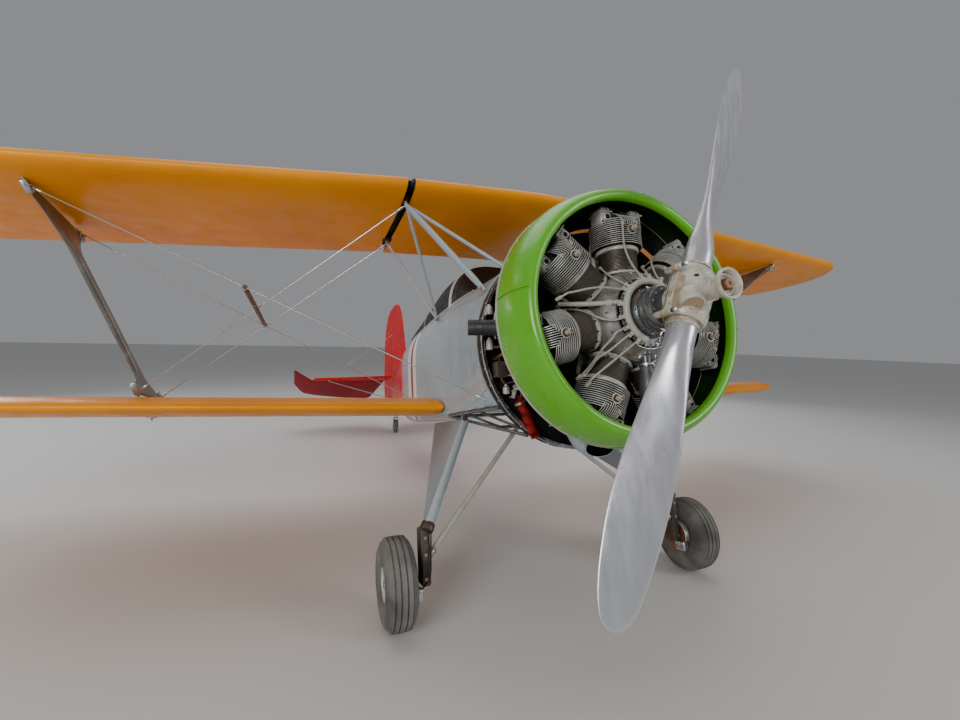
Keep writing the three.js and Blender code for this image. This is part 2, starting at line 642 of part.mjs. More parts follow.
// Cabane struts between the fuselage and the ends of the upper centre section
function cabane(side, grow = 0) {
  const [frontFoot, innerFoot, rearFoot, frontHead, rearHead] = [CABANE.frontFoot, CABANE.innerFoot,
    CABANE.rearFoot, CABANE.frontHead, CABANE.rearHead].map((place) => onSide(place, side));
  const bar = (from, to, chord, thickness) => (
    fairedBar([[from, chord, thickness], [to, chord, thickness]], 10, grow));
  return join([
    bar(frontFoot, frontHead, 50, 32),
    bar(innerFoot, frontHead, 26, 20),
    bar(rearFoot, frontHead, 30, 20),
    bar(rearFoot, rearHead, 28, 18),
    ...[frontHead, rearHead].map((head) => (
      rod(head.clone().setZ(head.z - 10), head.clone().setZ(CABANE.pinZ + 12), 13 + grow))),
  ]);
}

function buildStruts() {
  for (const [name, side] of Object.entries(SIDES)) {
    put(`interplane_strut_${name}`, join([interplaneStrut(side), ...strutPins(side)]), SILVER);
    put(`cabane_${name}`, cut(join([cabane(side), ...cabanePins(side)]), clearOfBody), SILVER);
  }
}

// Where two wires cross when seen from the front, on the first one
function crossing([a, b], [c, d]) {
  const slope = (from, to) => (to.z - from.z) / (to.x - from.x);
  const x = (c.z - a.z + slope(a, b) * a.x - slope(c, d) * c.x) / (slope(a, b) - slope(c, d));
  return a.clone().lerp(b, (x - a.x) / (b.x - a.x));
}

// Two flying wires and two landing wires a side, tied where they cross by a wooden spreader
function buildBracing() {
  for (const [name, side] of Object.entries(SIDES)) {
    const place = (x, y, z) => onSide([x, y, z], side);
    const { topX, topY, topSpars, bottomX, bottomY, bottomSpars } = STRUT;
    const frontFlying = [place(455, 660, -338), place(topX - 3, topY + 30, 866)];
    const rearFlying = [place(430, 2204, -234), place(topX - 3, topY + topSpars - 30, 866)];
    const frontLanding = [onSide(CABANE.frontHead, side), place(bottomX, bottomY + 14, -122)];
    const rearLanding = [onSide(CABANE.rearHead, side), place(bottomX, bottomY + bottomSpars - 14, -122)];
    const stick = [crossing(frontFlying, frontLanding), crossing(rearFlying, rearLanding)];
    const onStick = (y) => stick[0].clone().lerp(stick[1], (y - stick[0].y) / (stick[1].y - stick[0].y));
    const wires = [frontFlying, rearFlying].map(([from, to]) => rod(from, to, WIRE, 6));
    for (const [[from, to], end] of [[frontLanding, stick[0]], [rearLanding, stick[1]]]) {
      const tie = onStick(from.clone().lerp(to, (end.x - from.x) / (to.x - from.x)).y);
      wires.push(rod(from, tie, WIRE, 6), rod(tie, to, WIRE, 6));
    }
    const spreader = rod(onStick(stick[0].y - 14), onStick(stick[1].y + 14), SPREADER, 8);
    put(`bracing_${name}`, cut(join([...wires, spreader]), clearOfBody, interplaneStrut(side, GAP),
      ...strutPins(side, GAP), cabane(side, GAP)), STEEL);
  }
}

// The flat-ended block beside each wheel that holds the axle
function axleBlock(side, grow = 0) {
  const [width, depth, height] = LEG.block;
  return box(width + 2 * grow, depth + 2 * grow, height + 2 * grow, LEG.blockX * side, LEG.blockY,
    LEG.padZ + height / 2);
}

// Main gear: tyre, hub with its brake disc, and the leg with its flat fairing, axle block and axle
function buildGear() {
  const { track, radius, halfWidth, rim, y, z } = WHEEL;
  for (const [name, side] of Object.entries(SIDES)) {
    const x = track / 2 * side;
    const flank = [[rim + 1, 14], [rim + 50, 0], [radius - 34, 3], [radius - 8, 24], [radius, 46]];
    const tyre = turned([...flank.map(([r, inset]) => [r, inset - halfWidth]),
      ...flank.map(([r, inset]) => [r, halfWidth - inset]).reverse(), [rim + 1, 14 - halfWidth]], 32, 'x');
    put(`tyre_${name}`, tyre.translate(x, y, z), RUBBER);
    const { bore } = AXLE;
    const seat = rim + GAP;
    const hub = turned([[bore, -92], [90, -92], [90, -86], [40, -86], [40, -40], [rim - 4, -40],
      [seat, -56], [seat, 56], [rim - 8, 56], [rim - 14, 20], [44, 14], [40, 50], [0, 52], [0, 40],
      [bore, 40], [bore, -92]], 22, 'x');
    if (side < 0) hub.rotateZ(Math.PI);
    put(`wheel_hub_${name}`, hub.translate(x, y, z), ALUMINIUM);

    const knee = onSide([LEG.kneeX, LEG.kneeY, LEG.kneeZ], side);
    put(`gear_leg_${name}`, cut(join([
      fairedBar([[onSide([418, 1500, -412], side), 740, 22],
        [knee.clone().setY(LEG.kneeY + 33), 120, 30]], 16),
      rod(onSide([432, 1139, -424], side), knee, 24, 14),
      rod(onSide([446, 1120, -440], side), onSide([416, 1152, BELLY + 10], side), 14, 8),
      axleBlock(side),
      rod(onSide([LEG.blockX, y, z], side), onSide([track / 2 + 32, y, z], side), AXLE.radius, 20),
    ]), clearOfBody), SILVER);
  }
  const apexTop = BELLY - GAP;
  const apexHeight = apexTop - BRACE.apexZ + BRACE.radius;
  put('gear_brace', cut(join([
    ...[-1, 1].map((side) => (
      rod(onSide([LEG.blockX, 812, -1095], side), onSide([16, BRACE.apexY, BRACE.apexZ], side),
        BRACE.radius))),
    box(70, 60, apexHeight, 0, BRACE.apexY, apexTop - apexHeight / 2),
  ]), axleBlock(-1, GAP), axleBlock(1, GAP)), SILVER);
}

function buildStabiliser(name, side) {
  const { hingeY, z, rootX, rootLead, tipX, tipLead, pinX, pinY } = TAIL;
  const { nose, plate, tail } = SURFACE;
  const trail = hingeY - nose - MOVING_GAP;
  const across = vec(side, 0, 0);
  const stabiliser = panel([[rootX, rootLead], [tipX, tipLead]].map(([x, lead]) => (
    [onSide([x, lead, z], side), onSide([x, trail, z], side), plate, nose])), across);
  const pinHole = rod(onSide([pinX, pinY, z - 60], side), onSide([pinX, pinY, z + 60], side), 8 + GAP, 12);
  put(`stabiliser_${name}`, cut(stabiliser, clearOfBody, pinHole), RED);
  const behind = (x, distance) => onSide([x, hingeY + Math.cos(ELEVATOR_DROOP) * distance,
    z - Math.sin(ELEVATOR_DROOP) * distance], side);
  put(`elevator_${name}`, panel(ELEVATOR.map(([leadX, trailX, ahead, chord]) => (
    [behind(leadX, -ahead), behind(trailX, chord), nose, tail])), across), RED);

  const finGap = box(2 * (nose + GAP), 2000, 4000, 0, 5000, 0);
  put(`tail_bracing_${name}`, cut(join([
    rod(onSide([pinX, pinY, z - 26], side), onSide([pinX, pinY, z + 26], side), 8, 12),
    rod(onSide([pinX, pinY, z + 24], side), onSide([0, 5440, 1055], side), WIRE, 6),
    rod(onSide([pinX, pinY, z - 24], side), onSide([40, 5236, 20], side), 9, 8),
  ]), clearOfBody, finGap), STEEL);
}

function buildFin() {
  const { nose, plate, tail } = SURFACE;
  const up = vec(0, 0, 1);
  const trail = RUDDER_HINGE_Y - nose - MOVING_GAP;
  const fin = panel(FIN.map(([lead, height]) => (
    [vec(0, lead, height), vec(0, trail, height), plate, nose])), up);
  put('fin', cut(fin, clearOfBody), RED);
  put('rudder', panel(RUDDER.map(([end, height]) => (
    [vec(0, RUDDER_HINGE_Y, height), vec(0, end, height), nose, tail])), up), RED);
}

// Leaf spring with a swivel socket, the fork that turns in it, and the solid tyre
function buildTailWheel() {
  const { radius, halfWidth, y, z, trail } = TAIL_WHEEL;
  const swivelY = y - trail;
  const crown = z + radius + 16;
  const bore = rod(vec(0, swivelY, crown), vec(0, swivelY, crown + 100), 9, 16);
  const leaf = [[5060, -72], [5200, -90], [5330, -135], [swivelY, crown + 60]];
  const spring = join([
    loft(leaf.map(([along, height]) => (
      [[-25, -6], [25, -6], [25, 6], [-25, 6]].map(([x, up]) => vec(x, along, height + up))))),
    rod(vec(0, swivelY, crown + 22), vec(0, swivelY, crown + 78), 26, 20),
  ]);
  put('tail_spring', cut(spring, bore, clearOfBody), STEEL);
  const armX = 33.5;
  put('tail_fork', join([
    rod(vec(0, swivelY, crown + 2), vec(0, swivelY, crown + 16), 30, 20),
    rod(vec(0, swivelY, crown + 8), vec(0, swivelY, crown + 70), 8, 12),
    box(74, 90, 12, 0, swivelY + 14, crown + 4),
    ...[-1, 1].map((side) => fairedBar([
      [vec(armX * side, swivelY + 14, crown + 4), 84, 7], [vec(armX * side, y, z), 34, 7]], 12)),
    rod(vec(-armX, y, z), vec(armX, y, z), 8, 12),
  ]), STEEL);
  const tread = turned([[9, -20], [50, -20], [52, -halfWidth], [84, -halfWidth], [97, -14], [radius, -6],
    [radius, 6], [97, 14], [84, halfWidth], [52, halfWidth], [50, 20], [9, 20], [9, -20]], 20, 'x');
  put('tail_wheel', tread.translate(0, y, z), RUBBER);
}

buildFuselage();
buildCanopy();
buildFirewall();
buildCowl();
buildCrankcase();
buildCylinders();
buildIgnition();
buildEngineMount();
buildExhaust();
buildDucts();
buildPropeller();
buildWings();
buildStruts();
buildBracing();
buildGear();
for (const [name, side] of Object.entries(SIDES)) buildStabiliser(name, side);
buildFin();
buildTailWheel();

// The origin is the middle of the floor under the aircraft
biplane.updateMatrixWorld(true);
const extent = new THREE.Box3().setFromObject(biplane, true);
airframe.position.set(0, -(extent.min.y + extent.max.y) / 2, -extent.min.z);
biplane.updateMatrixWorld(true);

export default biplane;
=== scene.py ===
import json
import math
import random
import bmesh
import bpy
from mathutils import Matrix, Vector


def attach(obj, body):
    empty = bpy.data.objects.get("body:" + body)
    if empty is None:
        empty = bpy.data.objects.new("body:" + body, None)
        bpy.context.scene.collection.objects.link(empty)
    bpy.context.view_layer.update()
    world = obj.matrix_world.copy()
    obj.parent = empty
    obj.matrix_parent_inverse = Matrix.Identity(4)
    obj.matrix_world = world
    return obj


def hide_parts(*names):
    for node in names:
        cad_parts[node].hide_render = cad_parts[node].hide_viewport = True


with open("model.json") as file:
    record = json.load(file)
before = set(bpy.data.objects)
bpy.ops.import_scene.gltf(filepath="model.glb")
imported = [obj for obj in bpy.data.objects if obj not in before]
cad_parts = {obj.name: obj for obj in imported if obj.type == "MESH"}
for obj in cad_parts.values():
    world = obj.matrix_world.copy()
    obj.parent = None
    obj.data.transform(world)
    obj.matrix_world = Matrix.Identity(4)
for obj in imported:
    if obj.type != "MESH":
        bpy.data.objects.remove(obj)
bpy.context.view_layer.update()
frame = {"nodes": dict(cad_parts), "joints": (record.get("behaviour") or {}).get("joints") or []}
random.seed(7)
MM = 0.001
TURN = 2 * math.pi
SIDES = {"right": -1, "left": 1}
LEFT, AFTWARD, FORWARD, UP, DOWN = (1, 0, 0), (0, 1, 0), (0, -1, 0), (0, 0, 1), (0, 0, -1)
SHARP = 35
BISECTIONS = 30

# Places are in millimetres in the airframe's own level frame: X to its left, Y aft, Z up, from the
# middle of the cowl's opening. AIR turns that frame nose up and puts it on its wheels.
PARKED = math.radians(12)
THRUST_Z = -22
PROPELLER_Y = -281
tilt = Matrix.Rotation(-PARKED, 4, "X")
spin = next(j for j in frame["joints"] if j["name"] == "propeller_spin")
origin = Vector(spin["pos_m"]) - tilt @ (Vector((0, PROPELLER_Y, THRUST_Z)) * MM)
AIR = Matrix.Translation(origin) @ tilt
ENGINE = AIR @ Matrix.Translation((0, 0, THRUST_Z * MM))

# Camera at the photograph's place
CAMERA = {"from_origin": (-1.406, -1.6616, -0.1392), "yaw": 0.377, "pitch": -0.045, "roll": 0.022,
          "lens": 17.46, "reach": 200}

FLOOR_HALF = 60000
SKY, SKY_STRENGTH = (0.86, 0.88, 0.92, 1), 0.44
LOOK, EXPOSURE = "AgX - Punchy", 0.3
# Each soft light: place and size in metres, watts
LIGHTS = [((-6.5, -8.5, 3.6), 4.0, 560), ((5.5, -8, 4.2), 3.0, 230), ((0, 1, 8.5), 9, 430),
          ((-7, 5, 4.5), 4, 240), ((7, 6, 4), 4, 200)]
LIGHT_AIM = Vector((0, 0, 1.2))


def make_camera():
    yaw, pitch, roll = CAMERA["yaw"], CAMERA["pitch"], CAMERA["roll"]
    forward = Vector((math.sin(yaw) * math.cos(pitch), math.cos(yaw) * math.cos(pitch), math.sin(pitch)))
    level = Vector((math.cos(yaw), -math.sin(yaw), 0))
    above = level.cross(forward)
    right = level * math.cos(roll) + above * math.sin(roll)
    up = above * math.cos(roll) - level * math.sin(roll)
    data = bpy.data.cameras.new("camera")
    data.lens = CAMERA["lens"]
    data.clip_end = CAMERA["reach"]
    camera = bpy.data.objects.new("camera", data)
    bpy.context.scene.collection.objects.link(camera)
    matrix = Matrix((right, up, -forward)).transposed().to_4x4()
    matrix.translation = origin + Vector(CAMERA["from_origin"])
    camera.matrix_world = matrix
    bpy.context.scene.camera = camera


def make_stage():
    corners = [(x * FLOOR_HALF, y * FLOOR_HALF, 0) for x, y in ((-1, -1), (1, -1), (1, 1), (-1, 1))]
    floor = Shape().add(corners, [(0, 1, 2, 3)])
    floor.object("floor", "floor", Matrix.Identity(4))
    world = bpy.data.worlds.new("studio")
    bpy.context.scene.world = world
    world.use_nodes = True
    sky = world.node_tree.nodes["Background"]
    sky.inputs["Color"].default_value = SKY
    sky.inputs["Strength"].default_value = SKY_STRENGTH
    for at, size, power in LIGHTS:
        data = bpy.data.lights.new("soft_light", "AREA")
        data.size = size
        data.energy = power
        light = bpy.data.objects.new("soft_light", data)
        bpy.context.scene.collection.objects.link(light)
        light.location = at
        light.rotation_euler = (LIGHT_AIM - Vector(at)).to_track_quat("-Z", "Y").to_euler()
    bpy.context.scene.view_settings.look = LOOK
    bpy.context.scene.view_settings.exposure = EXPOSURE


COAT_ROUGHNESS = 0.06
# The part of a noise's range over which wear changes the roughness, and the least roughness
WEAR_FROM, WEAR_TO, LEAST_ROUGHNESS = 0.35, 0.65, 0.02


class Finish:
    """A procedural material, with colours laid over each other through masks."""

    def __init__(self, name, colour, rough, metal, coat):
        self.material = bpy.data.materials.new(name)
        self.material.use_nodes = True
        self.tree = self.material.node_tree
        self.shader = self.tree.nodes["Principled BSDF"]
        self.shader.inputs["Base Color"].default_value = (*colour, 1)
        self.shader.inputs["Roughness"].default_value = rough
        self.shader.inputs["Metallic"].default_value = metal
        self.shader.inputs["Coat Weight"].default_value = coat
        self.shader.inputs["Coat Roughness"].default_value = COAT_ROUGHNESS
        self.rough = rough
        self.colour = colour
        self.socket = None
        self.where = self.tree.nodes.new("ShaderNodeTexCoord").outputs["Object"]

    def link(self, source, target):
        self.tree.links.new(source, target)

    def stretched(self, scale):
        mapping = self.tree.nodes.new("ShaderNodeMapping")
        mapping.inputs["Scale"].default_value = scale
        self.link(self.where, mapping.inputs["Vector"])
        return mapping.outputs["Vector"]

    def noise(self, scale, detail, low=None, high=None, top=1.0, stretch=None):
        node = self.tree.nodes.new("ShaderNodeTexNoise")
        node.inputs["Scale"].default_value = scale
        node.inputs["Detail"].default_value = detail
        self.link(self.stretched(stretch) if stretch else self.where, node.inputs["Vector"])
        return node.outputs[0] if low is None else self.map(node.outputs[0], low, high, 0, top)

    def map(self, value, low, high, start=0.0, end=1.0):
        node = self.tree.nodes.new("ShaderNodeMapRange")
        for index, number in enumerate((low, high, start, end), 1):
            node.inputs[index].default_value = number
        self.link(value, node.inputs[0])
        return node.outputs[0]

    def times(self, first, second):
        node = self.tree.nodes.new("ShaderNodeMath")
        node.operation = "MULTIPLY"
        self.link(first, node.inputs[0])
        self.link(second, node.inputs[1])
        return node.outputs[0]

    def axis(self, name):
        node = self.tree.nodes.new("ShaderNodeSeparateXYZ")
        self.link(self.where, node.inputs[0])
        return node.outputs[name]

    def band(self, along, low, high, soft=0.002):
        rise = self.map(along, low - soft, low + soft)
        fall = self.map(along, high - soft, high + soft, 1.0, 0.0)
        return self.times(rise, fall)

    def lay(self, colour, mask):
        node = self.tree.nodes.new("ShaderNodeMix")
        node.data_type = "RGBA"
        self.link(mask, node.inputs[0])
        if self.socket is None:
            node.inputs[6].default_value = (*self.colour, 1)
        else:
            self.link(self.socket, node.inputs[6])
        node.inputs[7].default_value = (*colour, 1)
        self.socket = node.outputs[2]
        self.link(self.socket, self.shader.inputs["Base Color"])

    def bump(self, height, strength, distance):
        node = self.tree.nodes.new("ShaderNodeBump")
        node.inputs["Strength"].default_value = strength
        node.inputs["Distance"].default_value = distance
        self.link(height, node.inputs["Height"])
        self.link(node.outputs[0], self.shader.inputs["Normal"])

    def wear(self, value, spread):
        low, high = max(LEAST_ROUGHNESS, self.rough - spread), min(1.0, self.rough + spread)
        self.link(self.map(value, WEAR_FROM, WEAR_TO, low, high), self.shader.inputs["Roughness"])


def smoothed(rows, steps):
    """Rows of numbers with smooth rows put in between them."""
    out = []
    for i in range(len(rows) - 1):
        a, b, c, d = rows[max(i - 1, 0)], rows[i], rows[i + 1], rows[min(i + 2, len(rows) - 1)]
        for k in range(steps):
            t = k / steps
            out.append([0.5 * (2 * q + (r - p) * t + (2 * p - 5 * q + 4 * r - s) * t * t
                               + (3 * q - p - 3 * r + s) * t ** 3) for p, q, r, s in zip(a, b, c, d)])
    out.append(list(rows[-1]))
    return out


def around(count, radius, start=0.0):
    """Points on a circle, as pairs across and up."""
    turns = [(i + start) / count * TURN for i in range(count)]
    return [(math.cos(turn) * radius, math.sin(turn) * radius) for turn in turns]


def disc(radius, low, high):
    """The outline of a round bar to be turned."""
    return [(0, low), (radius, low), (radius, high), (0, high)]


def hoop(inner, outer, low, high):
    """The outline of a square ring to be turned."""
    return [(inner, low), (outer, low), (outer, high), (inner, high)]


def bisect(low, high, below):
    """How far from low to high a test holds."""
    for _ in range(BISECTIONS):
        middle = (low + high) / 2
        if below(middle):
            low = middle
        else:
            high = middle
    return low


def facing(at, direction, roll_to=UP):
    """A frame at a point whose Z runs along a direction."""
    z = Vector(direction).normalized()
    x = Vector(roll_to).cross(z)
    if x.length < 1e-4:
        x = Vector(LEFT) if abs(z.x) < 0.9 else Vector(AFTWARD)
        x = x - z * x.dot(z)
    x.normalize()
    matrix = Matrix((x, z.cross(x), z)).transposed().to_4x4()
    matrix.translation = Vector(at)
    return matrix


LEAST_RADIUS = 0.01
MERGE = 2e-6


class Shape:
    """Points and faces in millimetres, gathered into one piece."""

    def __init__(self):
        self.verts, self.faces, self.slots = [], [], []

    def add(self, verts, faces, slot=0, at=None):
        base = len(self.verts)
        self.verts += [(at @ Vector(v)) if at else Vector(v) for v in verts]
        self.faces += [tuple(base + i for i in face) for face in faces]
        self.slots += [slot] * len(faces)
        return self

    def rings(self, rings, slot=0, caps=True, loop=False, cap_slot=None, at=None):
        count, total = len(rings[0]), len(rings)
        faces = []
        for r in range(total if loop else total - 1):
            first, second = r * count, ((r + 1) % total) * count
            for i in range(count):
                j = (i + 1) % count
                faces.append((first + i, first + j, second + j, second + i))
        base = len(self.verts)
        self.add([p for ring in rings for p in ring], faces, slot, at)
        if caps and not loop:
            last = base + (total - 1) * count
            self.faces += [tuple(range(base, base + count))[::-1], tuple(range(last, last + count))]
            self.slots += [slot if cap_slot is None else cap_slot] * 2
        return self

    def lathe(self, profile, at, sides=32, slot=0, loop=False, caps=True):
        rings = [[(x, y, along) for x, y in around(sides, max(r, LEAST_RADIUS))] for r, along in profile]
        return self.rings(rings, slot, loop=loop, caps=caps, at=at)

    def tube(self, points, radius, sides=12, slot=0, steps=1, flat=1.0):
        path = [Vector(p) for p in (smoothed(points, steps) if steps > 1 else points)]
        size = radius if isinstance(radius, (list, tuple)) else [radius] * len(path)
        rings, x = [], None
        for i, point in enumerate(path):
            along = (path[min(i + 1, len(path) - 1)] - path[max(i - 1, 0)]).normalized()
            if x is None:
                x = facing((0, 0, 0), along).to_3x3() @ Vector(LEFT)
            x = (x - along * x.dot(along)).normalized()
            y = along.cross(x)
            rings.append([point + x * across + y * (rise * flat) for across, rise in around(sides, size[i])])
        return self.rings(rings, slot)

    def block(self, size, at, corner=4, slot=0, taper=1.0):
        width, depth, height = size
        corner = min(corner, width / 2.01, depth / 2.01, height / 2.01)

        def outline(inset, share):
            ring = []
            for k in range(4):
                cx = (width / 2 - corner) * (1 if k in (0, 3) else -1)
                cy = (depth / 2 - corner) * (1 if k in (0, 1) else -1)
                for j in range(4):
                    turn = (k + j / 3) * TURN / 4
                    ring.append(((cx + math.cos(turn) * (corner - inset)) * share,
                                 (cy + math.sin(turn) * (corner - inset)) * share))
            return ring
        rings = []
        for z, inset, share in [(0, corner * 0.9, 1), (corner * 0.35, corner * 0.3, 1), (corner, 0, 1),
                                (height - corner, 0, taper), (height - corner * 0.35, corner * 0.3, taper),
                                (height, corner * 0.9, taper)]:
            rings.append([(x, y, z) for x, y in outline(inset, share)])
        return self.rings(rings, slot, at=at)

    def bolt(self, at, direction, radius=6, height=5, slot=0, washer=True):
        base = facing(at, direction)
        if washer:
            self.lathe(disc(radius * 1.5, 0, height * 0.2), base, 14, slot)
        self.lathe([(0, height * 0.1), (radius, height * 0.1), (radius, height * 0.85),
                    (radius * 0.8, height), (0, height)], base, 6, slot)
        return self

    def dome(self, at, direction, radius=5, height=2, slot=0):
        return self.lathe([(0, -0.5), (radius, -0.5), (radius * 0.95, height * 0.4),
                           (radius * 0.6, height * 0.85), (0, height)], facing(at, direction), 12, slot)

    def object(self, name, finishes, space=None, sharp=SHARP):
        mesh = bpy.data.meshes.new(name)
        mesh.from_pydata([v * MM for v in self.verts], [], self.faces)
        mesh.polygons.foreach_set("material_index", self.slots)
        work = bmesh.new()
        work.from_mesh(mesh)
        bmesh.ops.remove_doubles(work, verts=work.verts, dist=MERGE)
        bmesh.ops.recalc_face_normals(work, faces=work.faces)
        work.to_mesh(mesh)
        work.free()
        mesh.shade_smooth()
        mesh.set_sharp_from_angle(angle=math.radians(sharp))
        for key in finishes.split():
            mesh.materials.append(paints[key].material)
        result = bpy.data.objects.new(name, mesh)
        bpy.context.scene.collection.objects.link(result)
        result.matrix_world = space or AIR
        bpy.context.view_layer.update()
        return result

    def piece(self, name, finishes, slot, body="airframe", replaces=(), space=None, sharp=SHARP):
        result = self.object(name, finishes, space, sharp)
        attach(result, body)
        if replaces:
            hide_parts(*replaces)
        return result


def carve(target, cutter):
    """Takes the cutter's space out of the target and deletes the cutter."""
    cut = target.modifiers.new("cut", "BOOLEAN")
    cut.operation = "DIFFERENCE"
    cut.solver = "EXACT"
    cut.object = cutter
    bpy.context.view_layer.update()
    mesh = bpy.data.meshes.new_from_object(target.evaluated_get(bpy.context.evaluated_depsgraph_get()))
    target.modifiers.clear()
    target.data = mesh
    mesh.set_sharp_from_angle(angle=math.radians(SHARP))
    bpy.data.objects.remove(cutter)


